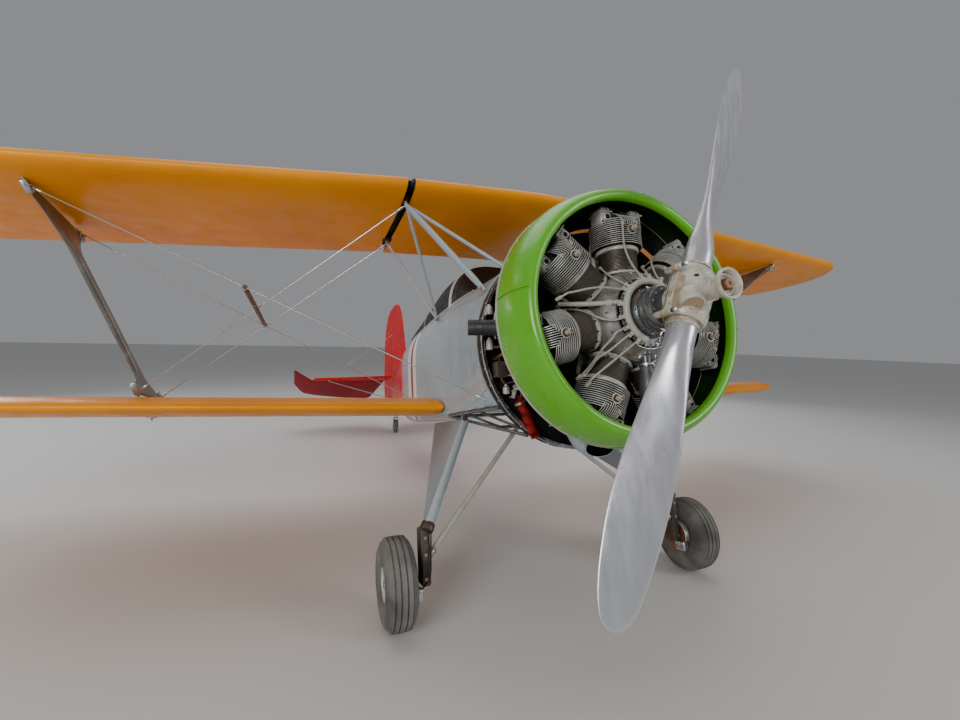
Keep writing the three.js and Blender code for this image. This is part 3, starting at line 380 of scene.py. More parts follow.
# Finishes: name, colour, roughness, metal, coat, layers, wear, bump.
# A layer is a colour and the noise it is laid through: scale, detail, where the mask starts and is
# full, its most, and its stretch. Wear is scale, detail, spread and stretch of the roughness's noise.
# Bump is scale, detail, strength, depth in metres and stretch.
FINISHES = {
    "floor": ("floor_pale", (0.62, 0.61, 0.59), 0.6, 0, 0, [], None, (3, 4, 0.02, 0.002)),
    "orange": ("orange_dope", (0.90, 0.33, 0.0), 0.42, 0, 0.08, [
        ((0.72, 0.23, 0.0), 1.4, 3, 0.42, 0.7, 0.7), ((0.90, 0.36, 0.002), 5, 6, 0.6, 0.8, 0.2),
        ((0.48, 0.20, 0.02), 38, 8, 0.68, 0.75, 0.25)], (9, 6, 0.1), (2.2, 3, 0.25, 0.01)),
    # Darker copy of the green paint for the cowl's inner face: painted shade inside the cowl
    "green_inside": ("green_inside", (0.022, 0.07, 0.014), 0.6, 0, 0, [
        ((0.05, 0.06, 0.03), 9, 7, 0.45, 0.7, 0.7)], None, (30, 5, 0.15, 0.002)),
    "green": ("green_paint", (0.105, 0.42, 0.008), 0.34, 0, 0.35, [
        ((0.15, 0.50, 0.012), 1.8, 3, 0.45, 0.7, 0.5), ((0.10, 0.30, 0.02), 22, 8, 0.64, 0.74, 0.4),
        ((0.40, 0.62, 0.20), 60, 6, 0.69, 0.74, 0.4, (1, 4, 1))], (12, 5, 0.1), (4, 3, 0.12, 0.006)),
    "silver": ("silver_paint", (0.36, 0.43, 0.465), 0.36, 0.12, 0.12, [
        ((0.46, 0.52, 0.55), 1.6, 3, 0.4, 0.7, 0.6), ((0.30, 0.31, 0.30), 14, 8, 0.6, 0.75, 0.35),
        ((0.28, 0.22, 0.16), 45, 8, 0.71, 0.77, 0.2)], (10, 6, 0.12), (3, 3, 0.08, 0.004)),
    # Elevator red: the red paint darkened, as painted shade on the elevators' undersides
    "shaded_elevator_red": ("shaded_elevator_red", (0.30, 0.005, 0.012), 0.42, 0, 0.08, [
        ((0.16, 0.006, 0.012), 3, 4, 0.45, 0.7, 0.6)], None, (4, 3, 0.15, 0.006)),
    "canopy": ("dark_canopy", (0.028, 0.028, 0.028), 0.6, 0, 0, [((0.045, 0.043, 0.04), 6, 6, 0.5, 0.8, 0.6)
        ], (18, 6, 0.14), None),
    "white": ("white_paint", (0.72, 0.70, 0.63), 0.4, 0, 0.2, [((0.60, 0.50, 0.36), 6, 6, 0.5, 0.75, 0.6),
        ((0.28, 0.15, 0.07), 26, 8, 0.60, 0.72, 0.7)], (20, 6, 0.12), (60, 4, 0.08, 0.002)),
    "hub_white": ("hub_white", (0.56, 0.54, 0.47), 0.4, 0, 0.2, [
        ((0.40, 0.33, 0.23), 18, 6, 0.46, 0.68, 0.75)], (20, 6, 0.12), (60, 4, 0.08, 0.002)),
    "blade": ("blade_metal", (0.62, 0.63, 0.66), 0.3, 0.75, 0, [
        ((0.76, 0.60, 0.65), 1.7, 2, 0.54, 0.7, 0.35, (1, 1, 0.5)),
        ((0.54, 0.54, 0.56), 6, 3, 0.5, 0.8, 0.2, (1, 1, 0.3))
        ], (30, 6, 0.06, (1, 1, 0.15)), (120, 4, 0.06, 0.001, (1, 1, 0.1))),
    "barrel": ("cylinder_barrel", (0.19, 0.165, 0.145), 0.5, 0.5, 0, [
        ((0.25, 0.20, 0.16), 9, 6, 0.45, 0.75, 0.7), ((0.30, 0.13, 0.05), 30, 6, 0.62, 0.74, 0.5)
        ], (30, 6, 0.15), (160, 4, 0.15, 0.001)),
    "head": ("cylinder_head", (0.62, 0.60, 0.56), 0.4, 0.3, 0, [((0.30, 0.27, 0.24), 9, 7, 0.46, 0.7, 0.75),
        ((0.40, 0.28, 0.18), 24, 7, 0.64, 0.76, 0.4)], (40, 6, 0.15), (140, 4, 0.2, 0.001)),
    "cover": ("rocker_cover", (0.50, 0.48, 0.44), 0.45, 0.2, 0, [
        ((0.26, 0.235, 0.21), 20, 8, 0.47, 0.68, 0.8), ((0.25, 0.13, 0.06), 34, 8, 0.64, 0.74, 0.5)
        ], (30, 6, 0.15), (90, 6, 0.3, 0.002)),
    "case": ("case_grey", (0.10, 0.105, 0.11), 0.36, 0.4, 0.12, [
        ((0.26, 0.28, 0.29), 14, 6, 0.48, 0.72, 0.75), ((0.17, 0.10, 0.06), 18, 8, 0.52, 0.66, 0.8)
        ], (24, 6, 0.14), (110, 5, 0.15, 0.001)),
    # Crankcase cone: grey darkened partly for its rust and partly as painted shade
    "case_cone": ("case_cone", (0.20, 0.20, 0.19), 0.45, 0.2, 0, [
        ((0.36, 0.34, 0.30), 8, 6, 0.5, 0.72, 0.8), ((0.11, 0.065, 0.04), 20, 8, 0.5, 0.66, 0.8)
        ], (24, 6, 0.12), (110, 5, 0.15, 0.001)),
    "steel": ("dull_steel", (0.40, 0.40, 0.40), 0.34, 0.9, 0, [((0.25, 0.24, 0.23), 16, 6, 0.45, 0.75, 0.7),
        ((0.24, 0.13, 0.07), 40, 7, 0.64, 0.75, 0.5)], (50, 5, 0.14), (200, 3, 0.06, 0.001)),
    "bright": ("bright_metal", (0.66, 0.66, 0.65), 0.24, 0.95, 0, [
        ((0.42, 0.41, 0.40), 20, 6, 0.5, 0.75, 0.6)], (60, 5, 0.12), None),
    "black": ("exhaust_black", (0.022, 0.022, 0.022), 0.5, 0, 0, [
        ((0.07, 0.06, 0.055), 12, 7, 0.5, 0.75, 0.7)], (40, 5, 0.15), (90, 6, 0.2, 0.001)),
    "rubber": ("tyre_rubber", (0.085, 0.083, 0.08), 0.75, 0, 0, [
        ((0.23, 0.215, 0.195), 7, 8, 0.38, 0.7, 0.8), ((0.26, 0.23, 0.19), 35, 6, 0.62, 0.75, 0.5)
        ], None, (150, 6, 0.25, 0.001)),
    "cream": ("cream_harness", (0.44, 0.43, 0.36), 0.45, 0, 0, [((0.33, 0.27, 0.19), 22, 6, 0.5, 0.72, 0.6)
        ], (40, 5, 0.1), (220, 2, 0.15, 0.001)),
    "braid": ("braided_lead", (0.50, 0.47, 0.38), 0.5, 0.3, 0, [((0.25, 0.22, 0.17), 420, 2, 0.45, 0.6, 0.7)
        ], None, (420, 2, 0.5, 0.001)),
    "copper": ("rusty_copper", (0.27, 0.13, 0.07), 0.52, 0.4, 0, [
        ((0.20, 0.08, 0.04), 30, 6, 0.45, 0.7, 0.8)], None, (90, 6, 0.3, 0.001)),
    "wood": ("dark_wood", (0.16, 0.10, 0.055), 0.5, 0, 0, [
        ((0.07, 0.04, 0.025), 30, 6, 0.4, 0.65, 0.8, (6, 0.5, 6))], None, (60, 5, 0.2, 0.001, (6, 0.5, 6))),
    # Near-black: painted shade in the bay, in hollows and gaps, and the colour of some dark parts
    "dark": ("dark_bay", (0.018, 0.017, 0.016), 0.65, 0, 0, [((0.06, 0.05, 0.042), 14, 8, 0.55, 0.75, 0.6)
        ], None, (60, 6, 0.25, 0.002)),
    "hose": ("red_duct", (0.26, 0.016, 0.012), 0.75, 0, 0, [((0.12, 0.012, 0.008), 14, 8, 0.42, 0.66, 0.85)
        ], None, (50, 6, 0.5, 0.003)),
    "wire": ("bracing_wire", (0.55, 0.55, 0.54), 0.3, 0.85, 0, [((0.4, 0.4, 0.4), 4, 4, 0.5, 0.7, 0.4)
        ], None, None),
    "red": ("red_paint", (0.66, 0.002, 0.008), 0.45, 0, 0.03, [((0.42, 0.008, 0.012), 2, 3, 0.45, 0.7, 0.6),
        ((0.60, 0.03, 0.03), 9, 6, 0.6, 0.78, 0.2)], (10, 6, 0.1), (3, 2, 0.06, 0.004)),
    "fuselage": ("fuselage_paint", (0.35, 0.44, 0.49), 0.38, 0.1, 0.12, [
        ((0.46, 0.54, 0.58), 1.6, 3, 0.4, 0.7, 0.6), ((0.24, 0.25, 0.25), 14, 8, 0.6, 0.75, 0.25)
        ], (10, 6, 0.1), (3, 2, 0.06, 0.004)),
    "wood_tan": ("worn_tan", (0.36, 0.26, 0.16), 0.5, 0, 0, [((0.50, 0.42, 0.31), 30, 6, 0.48, 0.72, 0.8),
        ((0.20, 0.11, 0.05), 50, 6, 0.58, 0.7, 0.7)], None, (90, 5, 0.2, 0.001)),
    # Interplane strut: very dark grey-brown, painted shade under the upper wing
    "strut": ("shaded_strut_paint", (0.12, 0.11, 0.10), 0.4, 0, 0.15, [((0.24, 0.225, 0.21), 7, 6, 0.45, 0.7, 0.7),
        ((0.10, 0.07, 0.055), 25, 7, 0.6, 0.74, 0.6)], None, (60, 5, 0.1, 0.001)),
    "fairing": ("gear_fairing", (0.27, 0.31, 0.335), 0.42, 0.15, 0, [
        ((0.35, 0.385, 0.405), 3, 4, 0.4, 0.7, 0.6), ((0.17, 0.13, 0.10), 22, 8, 0.6, 0.74, 0.5)
        ], None, (8, 4, 0.15, 0.004)),
    "rusty": ("rusty_strut", (0.075, 0.06, 0.05), 0.6, 0.3, 0, [((0.17, 0.085, 0.04), 20, 8, 0.5, 0.7, 0.7),
        ((0.24, 0.23, 0.21), 30, 6, 0.6, 0.75, 0.6)], None, (70, 6, 0.3, 0.002)),
    "white_metal": ("wheel_casting", (0.62, 0.62, 0.60), 0.4, 0.3, 0, [
        ((0.40, 0.36, 0.31), 16, 7, 0.5, 0.72, 0.6), ((0.22, 0.12, 0.06), 34, 7, 0.63, 0.75, 0.5)
        ], None, (90, 5, 0.15, 0.001)),
}
# Shader values that differ from the rest
SETTINGS = {
    "orange": ("Specular IOR Level", 0.25), "green": ("Coat Roughness", 0.14),
    "canopy": ("Specular IOR Level", 0.2), "red": ("Specular IOR Level", 0.2),
    "fuselage": ("Specular IOR Level", 0.3),
}
# Start and end of each band on the fuselage in metres, and its colour
BANDS = [(2.30, 2.62, (0.80, 0.80, 0.78)), (2.42, 2.50, (0.32, 0.02, 0.05)),
         (2.86, 3.04, (0.80, 0.26, 0.24)), (3.04, 6.2, (0.66, 0.018, 0.026))]


paints = {}


def make_finishes():
    for key, (name, colour, rough, metal, coat, layers, wear, bump) in FINISHES.items():
        finish = Finish(name, colour, rough, metal, coat)
        for laid, *noise in layers:
            finish.lay(laid, finish.noise(*noise))
        if wear:
            scale, detail, spread, *stretch = wear
            finish.wear(finish.noise(scale, detail, stretch=stretch[0] if stretch else None), spread)
        if bump:
            scale, detail, strength, depth, *stretch = bump
            finish.bump(finish.noise(scale, detail, stretch=stretch[0] if stretch else None), strength, depth)
        paints[key] = finish
    for key, (socket, value) in SETTINGS.items():
        paints[key].shader.inputs[socket].default_value = value

    # Golden brown stain down the side of the hub's joint, under its darkest spots
    hub = paints["hub_white"]
    stained = hub.map(hub.axis("X"), -0.045, -0.09)
    hub.lay((0.34, 0.23, 0.11), hub.times(stained, hub.noise(26, 6, 0.4, 0.7, 0.8)))
    hub.lay((0.20, 0.12, 0.06), hub.noise(48, 8, 0.58, 0.7, 0.6))
    # Pink smear on the lower blade
    blade = paints["blade"]
    smear = blade.band(blade.axis("Z"), -0.60, -0.40, 0.09)
    blade.lay((0.80, 0.42, 0.50), blade.times(smear, blade.noise(5, 3, 0.42, 0.66, 0.6, (1, 1, 0.5))))
    # Silver in front, bands of white and dark red, and red towards the tail
    paint = paints["fuselage"]
    aft = paint.axis("Y")
    for start, end, colour in BANDS:
        paint.lay(colour, paint.band(aft, start, end))


# Wings
UPPER = {"root": 778, "panel": 822, "y": 792, "z": 930, "centre_y": 724, "centre_z": 918, "chord": 1080,
         "sweep": 0.141, "dihedral": 0.0, "tip_x": 3740, "tip": 330}
LOWER = {"panel": 456, "y": 1490, "z": -310, "chord": 1020, "sweep": 0.141, "dihedral": 0.042,
         "tip_x": 3560, "tip": 300}
THICKNESS = 0.125
CAMBER, PEAK = 0.022, 0.4
AILERON = {"inner": 1500, "outer": 3180, "hinge": 0.74, "radius": 32, "gap": 7, "end_gap": 15}
RIB_PITCH, SAG = 290, 1.6
SECTION_STEPS = 28
# Tip: steps round it, how far the last one goes, and how the chord narrows and moves aft
TIP = {"steps": 12, "turn": 0.98, "narrow": 0.85, "shift": 0.42}
ROOT_TURNS, ROOT_THINNING, ROOT_ROUND = (0, 25, 50, 75), 0.32, 22
CENTRE_STATIONS, AILERON_STATIONS = 20, 24
CUT_REACH, CUT_DEPTH = 700, 150
AILERON_BRACKETS = (1560, 2340, 3110)
TIE_DOWN = (2330, 2250, -274)


def section_point(along, upper):
    half = 5 * THICKNESS * (0.2969 * math.sqrt(along) - 0.126 * along - 0.3516 * along ** 2
                            + 0.2843 * along ** 3 - 0.1036 * along ** 4) + 0.002 * along
    if along < PEAK:
        camber = CAMBER / PEAK ** 2 * (2 * PEAK * along - along ** 2)
    else:
        camber = CAMBER / (1 - PEAK) ** 2 * (1 - 2 * PEAK + 2 * PEAK * along - along ** 2)
    return camber, half if upper else -half


def wing_ring(x, y, z, chord, sag=0.0):
    ring, steps = [], SECTION_STEPS
    for i in range(2 * steps + 1):
        upper = i < steps
        share = (1 - math.cos(math.pi * (steps - i if upper else i - steps) / steps)) / 2
        camber, half = section_point(share, upper)
        dip = sag * math.sin(math.pi * min(max((share - 0.08) / 0.86, 0), 1))
        ring.append((x, y + share * chord, z + camber * chord + half * chord - (dip if upper else -dip)))
    return ring


def wing_panel(side, wing, start, rounded_root=0.0):
    def place(x, narrowing=0.0, sag=0.0):
        out = x - wing["panel"]
        return wing_ring(x * side, wing["y"] + out * wing["sweep"] + narrowing * wing["chord"] * TIP["shift"],
                         wing["z"] + out * wing["dihedral"], wing["chord"] * (1 - narrowing * TIP["narrow"]),
                         sag)
    full = wing["tip_x"] - wing["tip"]
    rings = []
    if rounded_root:
        for turn in ROOT_TURNS:
            angle = math.radians(turn)
            ring = place(start + rounded_root * (1 - math.cos(angle)))
            middle = sum((Vector(p) for p in ring), Vector()) / len(ring)
            inset = 1 - ROOT_THINNING * (1 - math.sin(angle))
            rings.append([(px, py, middle.z + (pz - middle.z) * inset) for px, py, pz in ring])
        start += rounded_root
    count = int((full - start) / (RIB_PITCH / 4))
    for i in range(count + 1):
        x = start + (full - start) * i / count
        rings.append(place(x, 0, SAG * math.sin(math.pi * (x - start) / RIB_PITCH) ** 2))
    for i in range(1, TIP["steps"] + 1):
        turn = i / TIP["steps"] * math.pi / 2 * TIP["turn"]
        rings.append(place(full + wing["tip"] * math.sin(turn), 1 - math.cos(turn)))
    # The end caps take the second finish, near-black: painted shade in the gaps at the roots
    return Shape().rings(rings, 0, cap_slot=1)


def hinge_point(x, along):
    camber = section_point(along, True)[0] * LOWER["chord"]
    out = x - LOWER["panel"]
    return Vector((x, LOWER["y"] + out * LOWER["sweep"] + along * LOWER["chord"],
                   LOWER["z"] + out * LOWER["dihedral"] + camber))


def on_side(point, side):
    return Vector((point[0] * side, point[1], point[2]))


NOSE_STEPS, FLAT_SHARES = 12, (0.12, 0.3, 0.6, 1.0)


def surface(stations, span):
    """A panel with a round nose: each station is leading point, trailing point, nose radius, tail half."""
    rings = []
    for lead, trail, nose, tail in stations:
        lead, trail = Vector(lead), Vector(trail)
        aft = (trail - lead).normalized()
        up = Vector(span).cross(aft).normalized()
        ring = []
        for i in range(NOSE_STEPS + 1):
            turn = math.pi / 2 + i / NOSE_STEPS * math.pi
            ring.append(lead + aft * (math.cos(turn) * nose) + up * (math.sin(turn) * nose))
        length = (trail - lead).length
        for shares, flip in ((FLAT_SHARES, -1), (FLAT_SHARES[::-1], 1)):
            for share in shares:
                ring.append(lead + aft * (length * share) + up * ((nose + (tail - nose) * share) * flip))
        rings.append(ring)
    return Shape().rings(rings)


def build_centre_section():
    u = UPPER
    rings = []
    for i in range(CENTRE_STATIONS + 1):
        x = -u["root"] + 2 * u["root"] * i / CENTRE_STATIONS
        share = max(1 - math.sqrt((x / u["root"]) ** 2 + 0.01), 0)
        rings.append(wing_ring(x, u["y"] + (u["centre_y"] - u["y"]) * share,
                               u["z"] + (u["centre_z"] - u["z"]) * share, u["chord"],
                               SAG * math.sin(math.pi * i / 5) ** 2))
    # Its end caps are near-black: painted shade in the gaps beside it
    Shape().rings(rings, 0, cap_slot=1).piece("upper_centre_skin", "orange dark", "orange_dope",
                                              replaces=["upper_centre_section"])


def build_lower_wing(name, side):
    a = AILERON
    skin = wing_panel(side, LOWER, LOWER["panel"], ROOT_ROUND).object(f"lower_wing_{name}_skin",
                                                                      "orange dark")
    rings = []
    for x in (a["inner"], a["outer"]):
        edge = on_side(hinge_point(x, a["hinge"]), side) + Vector((0, -a["radius"] - a["gap"], 0))
        rings.append([edge + Vector((0, dy, dz)) for dy, dz in ((0, -CUT_DEPTH), (CUT_REACH, -CUT_DEPTH),
                                                                (CUT_REACH, CUT_DEPTH), (0, CUT_DEPTH))])
    carve(skin, Shape().rings(rings).object("aileron_cut", "dark"))
    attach(skin, "airframe")
    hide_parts(f"lower_wing_{name}")


def build_aileron(name, side):
    a = AILERON
    stations = []
    inner, outer = a["inner"] + a["end_gap"], a["outer"] - a["end_gap"]
    for i in range(AILERON_STATIONS + 1):
        x = inner + (outer - inner) * i / AILERON_STATIONS
        thin = 0.8 if i in (0, AILERON_STATIONS) else 1.0
        stations.append((on_side(hinge_point(x, a["hinge"]), side), on_side(hinge_point(x, 0.998), side),
                         a["radius"] * thin - SAG * math.sin(math.pi * i / 4) ** 2, 3 * thin))
    span = on_side(hinge_point(outer, a["hinge"]) - hinge_point(inner, a["hinge"]), side)
    surface(stations, span).piece(f"aileron_{name}_skin", "orange", "orange_dope", f"aileron_{name}",
                                  [f"aileron_{name}"])


def build_wing_fittings(name, side):
    fittings = Shape()
    for x in AILERON_BRACKETS:
        at = on_side(hinge_point(x, AILERON["hinge"]), side)
        fittings.block((16, 60, 10), facing(at + Vector((0, -62, -40)), UP), 2)
    pad = on_side(TIE_DOWN, side)
    fittings.block((58, 58, 16), facing(pad, UP), 3)
    turns = [i / 10 * math.pi for i in range(11)]
    fittings.tube([pad + Vector((0, -14 * math.cos(t), -2 - 13 * math.sin(t))) for t in turns], 3.2, 8)
    fittings.piece(f"lower_wing_{name}_fittings", "steel", "steel")
    root = Shape()
    for y, z in ((1690, -292), (2220, -300)):
        root.block((70, 46, 34), facing(on_side((430, y, z - 17), side), UP), 5)
    root.piece(f"lower_root_fittings_{name}", "dark", "steel")
    heads = Shape()
    for y, z in ((958, 905), (1580, 908)):
        heads.block((62, 60, 66), facing(on_side((800, y, z - 8), side), UP), 6)
    cover = [on_side((800, y, z), side) for y, z in ((850, 944), (1250, 952), (1720, 938))]
    heads.tube(cover, 13, 10, steps=8, flat=1.6)
    heads.piece(f"upper_root_bracket_{name}", "dark", "steel")


def build_wings():
    build_centre_section()
    for name, side in SIDES.items():
        wing_panel(side, UPPER, UPPER["panel"]).piece(f"upper_wing_{name}_skin", "orange dark",
                                                      "orange_dope", replaces=[f"upper_wing_{name}"])
        build_lower_wing(name, side)
        build_aileron(name, side)
        build_wing_fittings(name, side)


# Fuselage: y, half width, top, middle, bottom, upper squareness, lower squareness
BODY = [[560.5, 552, 497, -55, -607, 2.0, 2.0], [820, 498, 492, -45, -570, 2.3, 2.8],
        [1100, 464, 488, -20, -520, 2.9, 4.5], [1500, 452, 490, 0, -500, 3.6, 6.0],
        [2100, 450, 505, 20, -470, 3.4, 6.0], [2700, 438, 520, 50, -420, 3.0, 5.0],
        [3200, 395, 520, 80, -370, 2.8, 4.5], [4200, 230, 470, 120, -225, 2.5, 4.0],
        [5000, 112, 400, 160, -70, 2.3, 3.0], [5566, 36, 352, 200, 60, 2.2, 2.5]]
BELLY, SPLIT_Y = -360, 3200
NOSE_STATIONS, REAR_STATIONS = 56, 44
BODY_POINTS = 96
# Side panel: from and to along the fuselage, where its heights are measured, and its edges' heights
PANEL = {"start": 572, "end": 1330, "at": 1000, "low": -342, "seam": (300, 306), "high": 470, "trim": 455}
PANEL_LIFT, PANEL_THICK = 0.6, 2.4
SCREW_ROWS, SCREW_PITCH, SCREW_COLUMNS = 10, 81, 12
STRINGERS = {"heights": (40, -180), "rise": 0.09, "first": 3230, "end": 5400, "pitch": 90}


def body_at(y):
    for a, b in zip(BODY, BODY[1:]):
        if y <= b[0]:
            t = (y - a[0]) / (b[0] - a[0])
            return [p + (q - p) * t for p, q in zip(a, b)]
    return BODY[-1]


def body_point(row, turn, lift=0.0):
    y, half, top, middle, bottom, upper, lower = row
    c, s = math.cos(turn), math.sin(turn)
    bend = 2 / (upper if s > 0 else lower)
    reach = (top - middle if s > 0 else middle - bottom) + lift
    z = middle + math.copysign(abs(s) ** bend, s) * reach
    if y < SPLIT_Y + 1:
        z = max(z, BELLY - lift)
    return Vector((math.copysign(abs(c) ** bend, c) * (half + lift), y, z))


def body_rings(start, end, count):
    return [[body_point(body_at(start + (end - start) * i / count), k / BODY_POINTS * TURN)
             for k in range(BODY_POINTS)] for i in range(count + 1)]


def patch(shape, y0, y1, turn0, turn1, lift, thick, columns, rows):
    """A thin sheet that lies on the fuselage between two stations and two turns round its section."""
    rings = []
    for i in range(columns + 1):
        row = body_at(y0 + (y1 - y0) * i / columns)
        outer = [body_point(row, turn0 + (turn1 - turn0) * k / rows, lift + thick) for k in range(rows + 1)]
        inner = [body_point(row, turn0 + (turn1 - turn0) * k / rows, lift) for k in range(rows + 1)]
        rings.append(outer + inner[::-1])
    return shape.rings(rings)


def turn_for(y, z, side):
    """The turn round the section at which the fuselage's side is at a height."""
    row = body_at(y)
    turn = bisect(-math.pi / 2, math.pi / 2, lambda turn: body_point(row, turn).z < z)
    return turn if side > 0 else math.pi - turn


def build_nose_panel(name, side):
    low, high, upper_low, upper_high, trim_high = (
        turn_for(PANEL["at"], z, side) for z in (PANEL["low"], *PANEL["seam"], PANEL["high"], PANEL["trim"]))
    panel = Shape()
    for edges, rows in (((low, high), 28), ((upper_low, upper_high), 14)):
        patch(panel, PANEL["start"], PANEL["end"], *edges, PANEL_LIFT, PANEL_THICK, columns=24, rows=rows)
    panel.piece(f"nose_panel_{name}", "silver", "silver_paint")
    trim = patch(Shape(), 563, 571, low, trim_high, 0.8, 5, columns=2, rows=48)
    trim.piece(f"nose_panel_edge_{name}", "cream", "white_paint")
    places = [(590 + i * SCREW_PITCH, turn) for i in range(SCREW_ROWS)
              for turn in (low + 0.03 * side, high - 0.035 * side, upper_low + 0.035 * side)]
    places += [(y, low + (upper_high - low) * (k + 0.5) / SCREW_COLUMNS) for k in range(SCREW_COLUMNS)
               for y in (584, 1318)]
    screws = Shape()
    for y, turn in places:
        row = body_at(y)
        at = body_point(row, turn, 3)
        screws.dome(at, body_point(row, turn, 40) - at, 4.5, 2)
    screws.piece(f"nose_screws_{name}", "steel", "steel")


def build_fuselage():
    nose = Shape().rings(body_rings(BODY[0][0], SPLIT_Y, NOSE_STATIONS))
    nose.piece("fuselage_nose_skin", "fuselage", "silver_paint", replaces=["fuselage_nose"])
    rear = Shape().rings(body_rings(SPLIT_Y + 0.4, BODY[-1][0], REAR_STATIONS))
    rear.piece("fuselage_rear_skin", "fuselage", "red_paint", replaces=["fuselage_rear"])
    for name, side in SIDES.items():
        build_nose_panel(name, side)
        ribs, t = Shape(), STRINGERS
        for z in t["heights"]:
            ribs.tube([body_point(body_at(y), turn_for(y, z + (y - SPLIT_Y) * t["rise"], side), -3.5)
                       for y in range(t["first"], t["end"], t["pitch"])], 7, 8)
        ribs.piece(f"stringers_{name}", "red", "red_paint")


# Canopy: y, half width, top
WINDSCREEN = [[1250, 285, 520], [1380, 316, 645], [1490, 332, 728], [1578, 338, 768]]
HOOP = [[1579, 346, 778], [1600, 347, 783], [1621, 346, 782]]
CANOPY = [[1622, 339, 776], [2000, 341, 783], [2400, 335, 690], [3000, 312, 600], [3400, 262, 530]]
CANOPY_FOOT, CANOPY_BEND, ARCH_STEPS = 420, 2 / 2.3, 48


def arch(y, half, top, lift=0.0):
    ring = []
    for i in range(ARCH_STEPS + 1):
        turn = i / ARCH_STEPS * math.pi
        c, s = math.cos(turn), max(math.sin(turn), 0)
        ring.append((math.copysign(abs(c) ** CANOPY_BEND, c) * (half + lift), y,
                     CANOPY_FOOT + (top + lift - CANOPY_FOOT) * s ** CANOPY_BEND))
    return ring


def build_canopy():
    for name, rows, steps in (("windscreen", WINDSCREEN, 8), ("canopy", CANOPY, 12)):
        rings = [arch(*row) for row in smoothed(rows, steps)]
        Shape().rings(rings).piece(f"{name}_sheet", "canopy", "dark_canopy", replaces=[name])
    Shape().rings([arch(*row) for row in smoothed(HOOP, 4)]).piece("canopy_hoop", "white", "white_paint",
                                                                   replaces=["canopy_frame"])

    def foot(y, half):
        row = body_at(y)
        return body_point(row, bisect(0.0, math.pi / 2, lambda turn: body_point(row, turn).x > half), 4)
    rails = Shape()
    edges = smoothed(WINDSCREEN + CANOPY, 4)
    for side in (-1, 1):
        rails.tube([on_side(foot(y, half * 0.985), side) for y, half, _ in edges], 8, 8)
    rails.tube([(0, y, top + 2) for y, _, top in smoothed(CANOPY, 5)], 9, 8, flat=0.6)
    rails.rings([arch(2360, 336, 702, 3), arch(2360 + 26, 336, 702, 3)])
    rails.tube(arch(1262, 290, 530, 1)[8:-8], 5, 8)
    rails.piece("canopy_rails", "bright", "silver_paint")


# Cowl: each outline is pairs of radius and y
COWL = [(512, -8), (513, -18), (517, -27), (527, -33), (540, -35.5), (552, -31), (562, -19), (573, 8),
        (582, 32), (590, 62), (595, 92), (597, 125), (597, 160), (596, 206), (591, 206), (592, 160),
        (592, 125), (590, 94), (585, 64), (577, 36), (567, 10), (556, -14), (548, -23), (540, -27),
        (530, -26), (523, -20), (519.5, -10), (518, 0), (514, 1)]
COWL_OUTSIDE, COWL_INSIDE_END, COWL_SIDES = 13, 21, 160
BAFFLE_RING = [(475, 200.5), (591, 200.5), (591, 205.5), (475, 205.5), (470, 203)]
DARK_RING = [(300, 229), (484, 229), (486, 230.5), (484, 232), (300, 232), (298, 230.5)]
COWL_STUD = {"radius": 496, "y": 203}
SEAM = [(553, -31), (563, -19), (574, 8), (583, 32), (591, 62), (596, 92), (598, 125), (598, 160), (597, 194)]
SEAM_TURNS = (0.02, 0.27, 0.52, 0.77)
FASTENERS = 36
CYLINDERS = 7


def ring_of(radius, y, share):
    return Vector((math.sin(share * TURN) * radius, y, math.cos(share * TURN) * radius))


AFT = facing((0, 0, 0), AFTWARD)


def outward(share):
    return ring_of(1, 0, share)


def build_cowl():
    s = Shape().lathe(COWL, AFT, COWL_SIDES, loop=True)
    # The inner face takes the second finish, a darker green: painted shade inside the cowl
    inside = slice(COWL_OUTSIDE * COWL_SIDES, COWL_INSIDE_END * COWL_SIDES)
    s.slots[inside] = [1] * len(s.slots[inside])
    s.lathe(BAFFLE_RING, AFT, COWL_SIDES, 2, loop=True)
    s.lathe(DARK_RING, AFT @ Matrix.Translation((0, THRUST_Z, 0)), 96, 2, loop=True)
    for i in range(CYLINDERS):
        at = ring_of(COWL_STUD["radius"], COWL_STUD["y"], i / CYLINDERS) + Vector((0, 0, THRUST_Z))
        s.tube([at - Vector((0, 14.4, 0)), at], 9, 12, 3)
        s.lathe(disc(17, 0, -4), facing(at - Vector((0, 3, 0)), AFTWARD), 6, 3)
    s.piece("cowl_skin", "green green_inside black steel", "green_paint", replaces=["cowl"])
    rim = Shape().lathe([(590, 196), (598.5, 196), (600, 201), (599, 211), (590, 211)], AFT, 128, loop=True)
    rim.piece("cowl_rim", "cream", "white_paint")
    studs = Shape()
    for i in range(FASTENERS):
        share = (i + 0.5) / FASTENERS
        studs.dome(ring_of(596.5, 172, share), outward(share), 6.5, 2.5)
    studs.piece("cowl_fasteners", "bright", "steel")
    seams = Shape()
    for share in SEAM_TURNS:
        seams.tube([ring_of(r, y, share) for r, y in SEAM], 5, 8, flat=0.35, steps=3)
    seams.piece("cowl_seams", "green", "green_paint")


# Engine
CYLINDER_Y = 108
HEAD = {"radius": 118, "root": 99, "first": 339, "pitch": 9.5, "fin": 2.6, "level": 8, "bent": 5, "dome": 505}


def plate(shape, x, outline, thick, slot):
    """A flat fin that stands fore and aft: the outline is pairs of y and z. Its faces are painted shade, its
    rounded edge takes the given slot.
    """
    shape.rings([[(x + dx, y, z) for y, z in outline] for dx in (-thick / 2, thick / 2)], 6)
    shape.tube([(x, y, z) for y, z in outline], thick * 0.75, 6, slot)


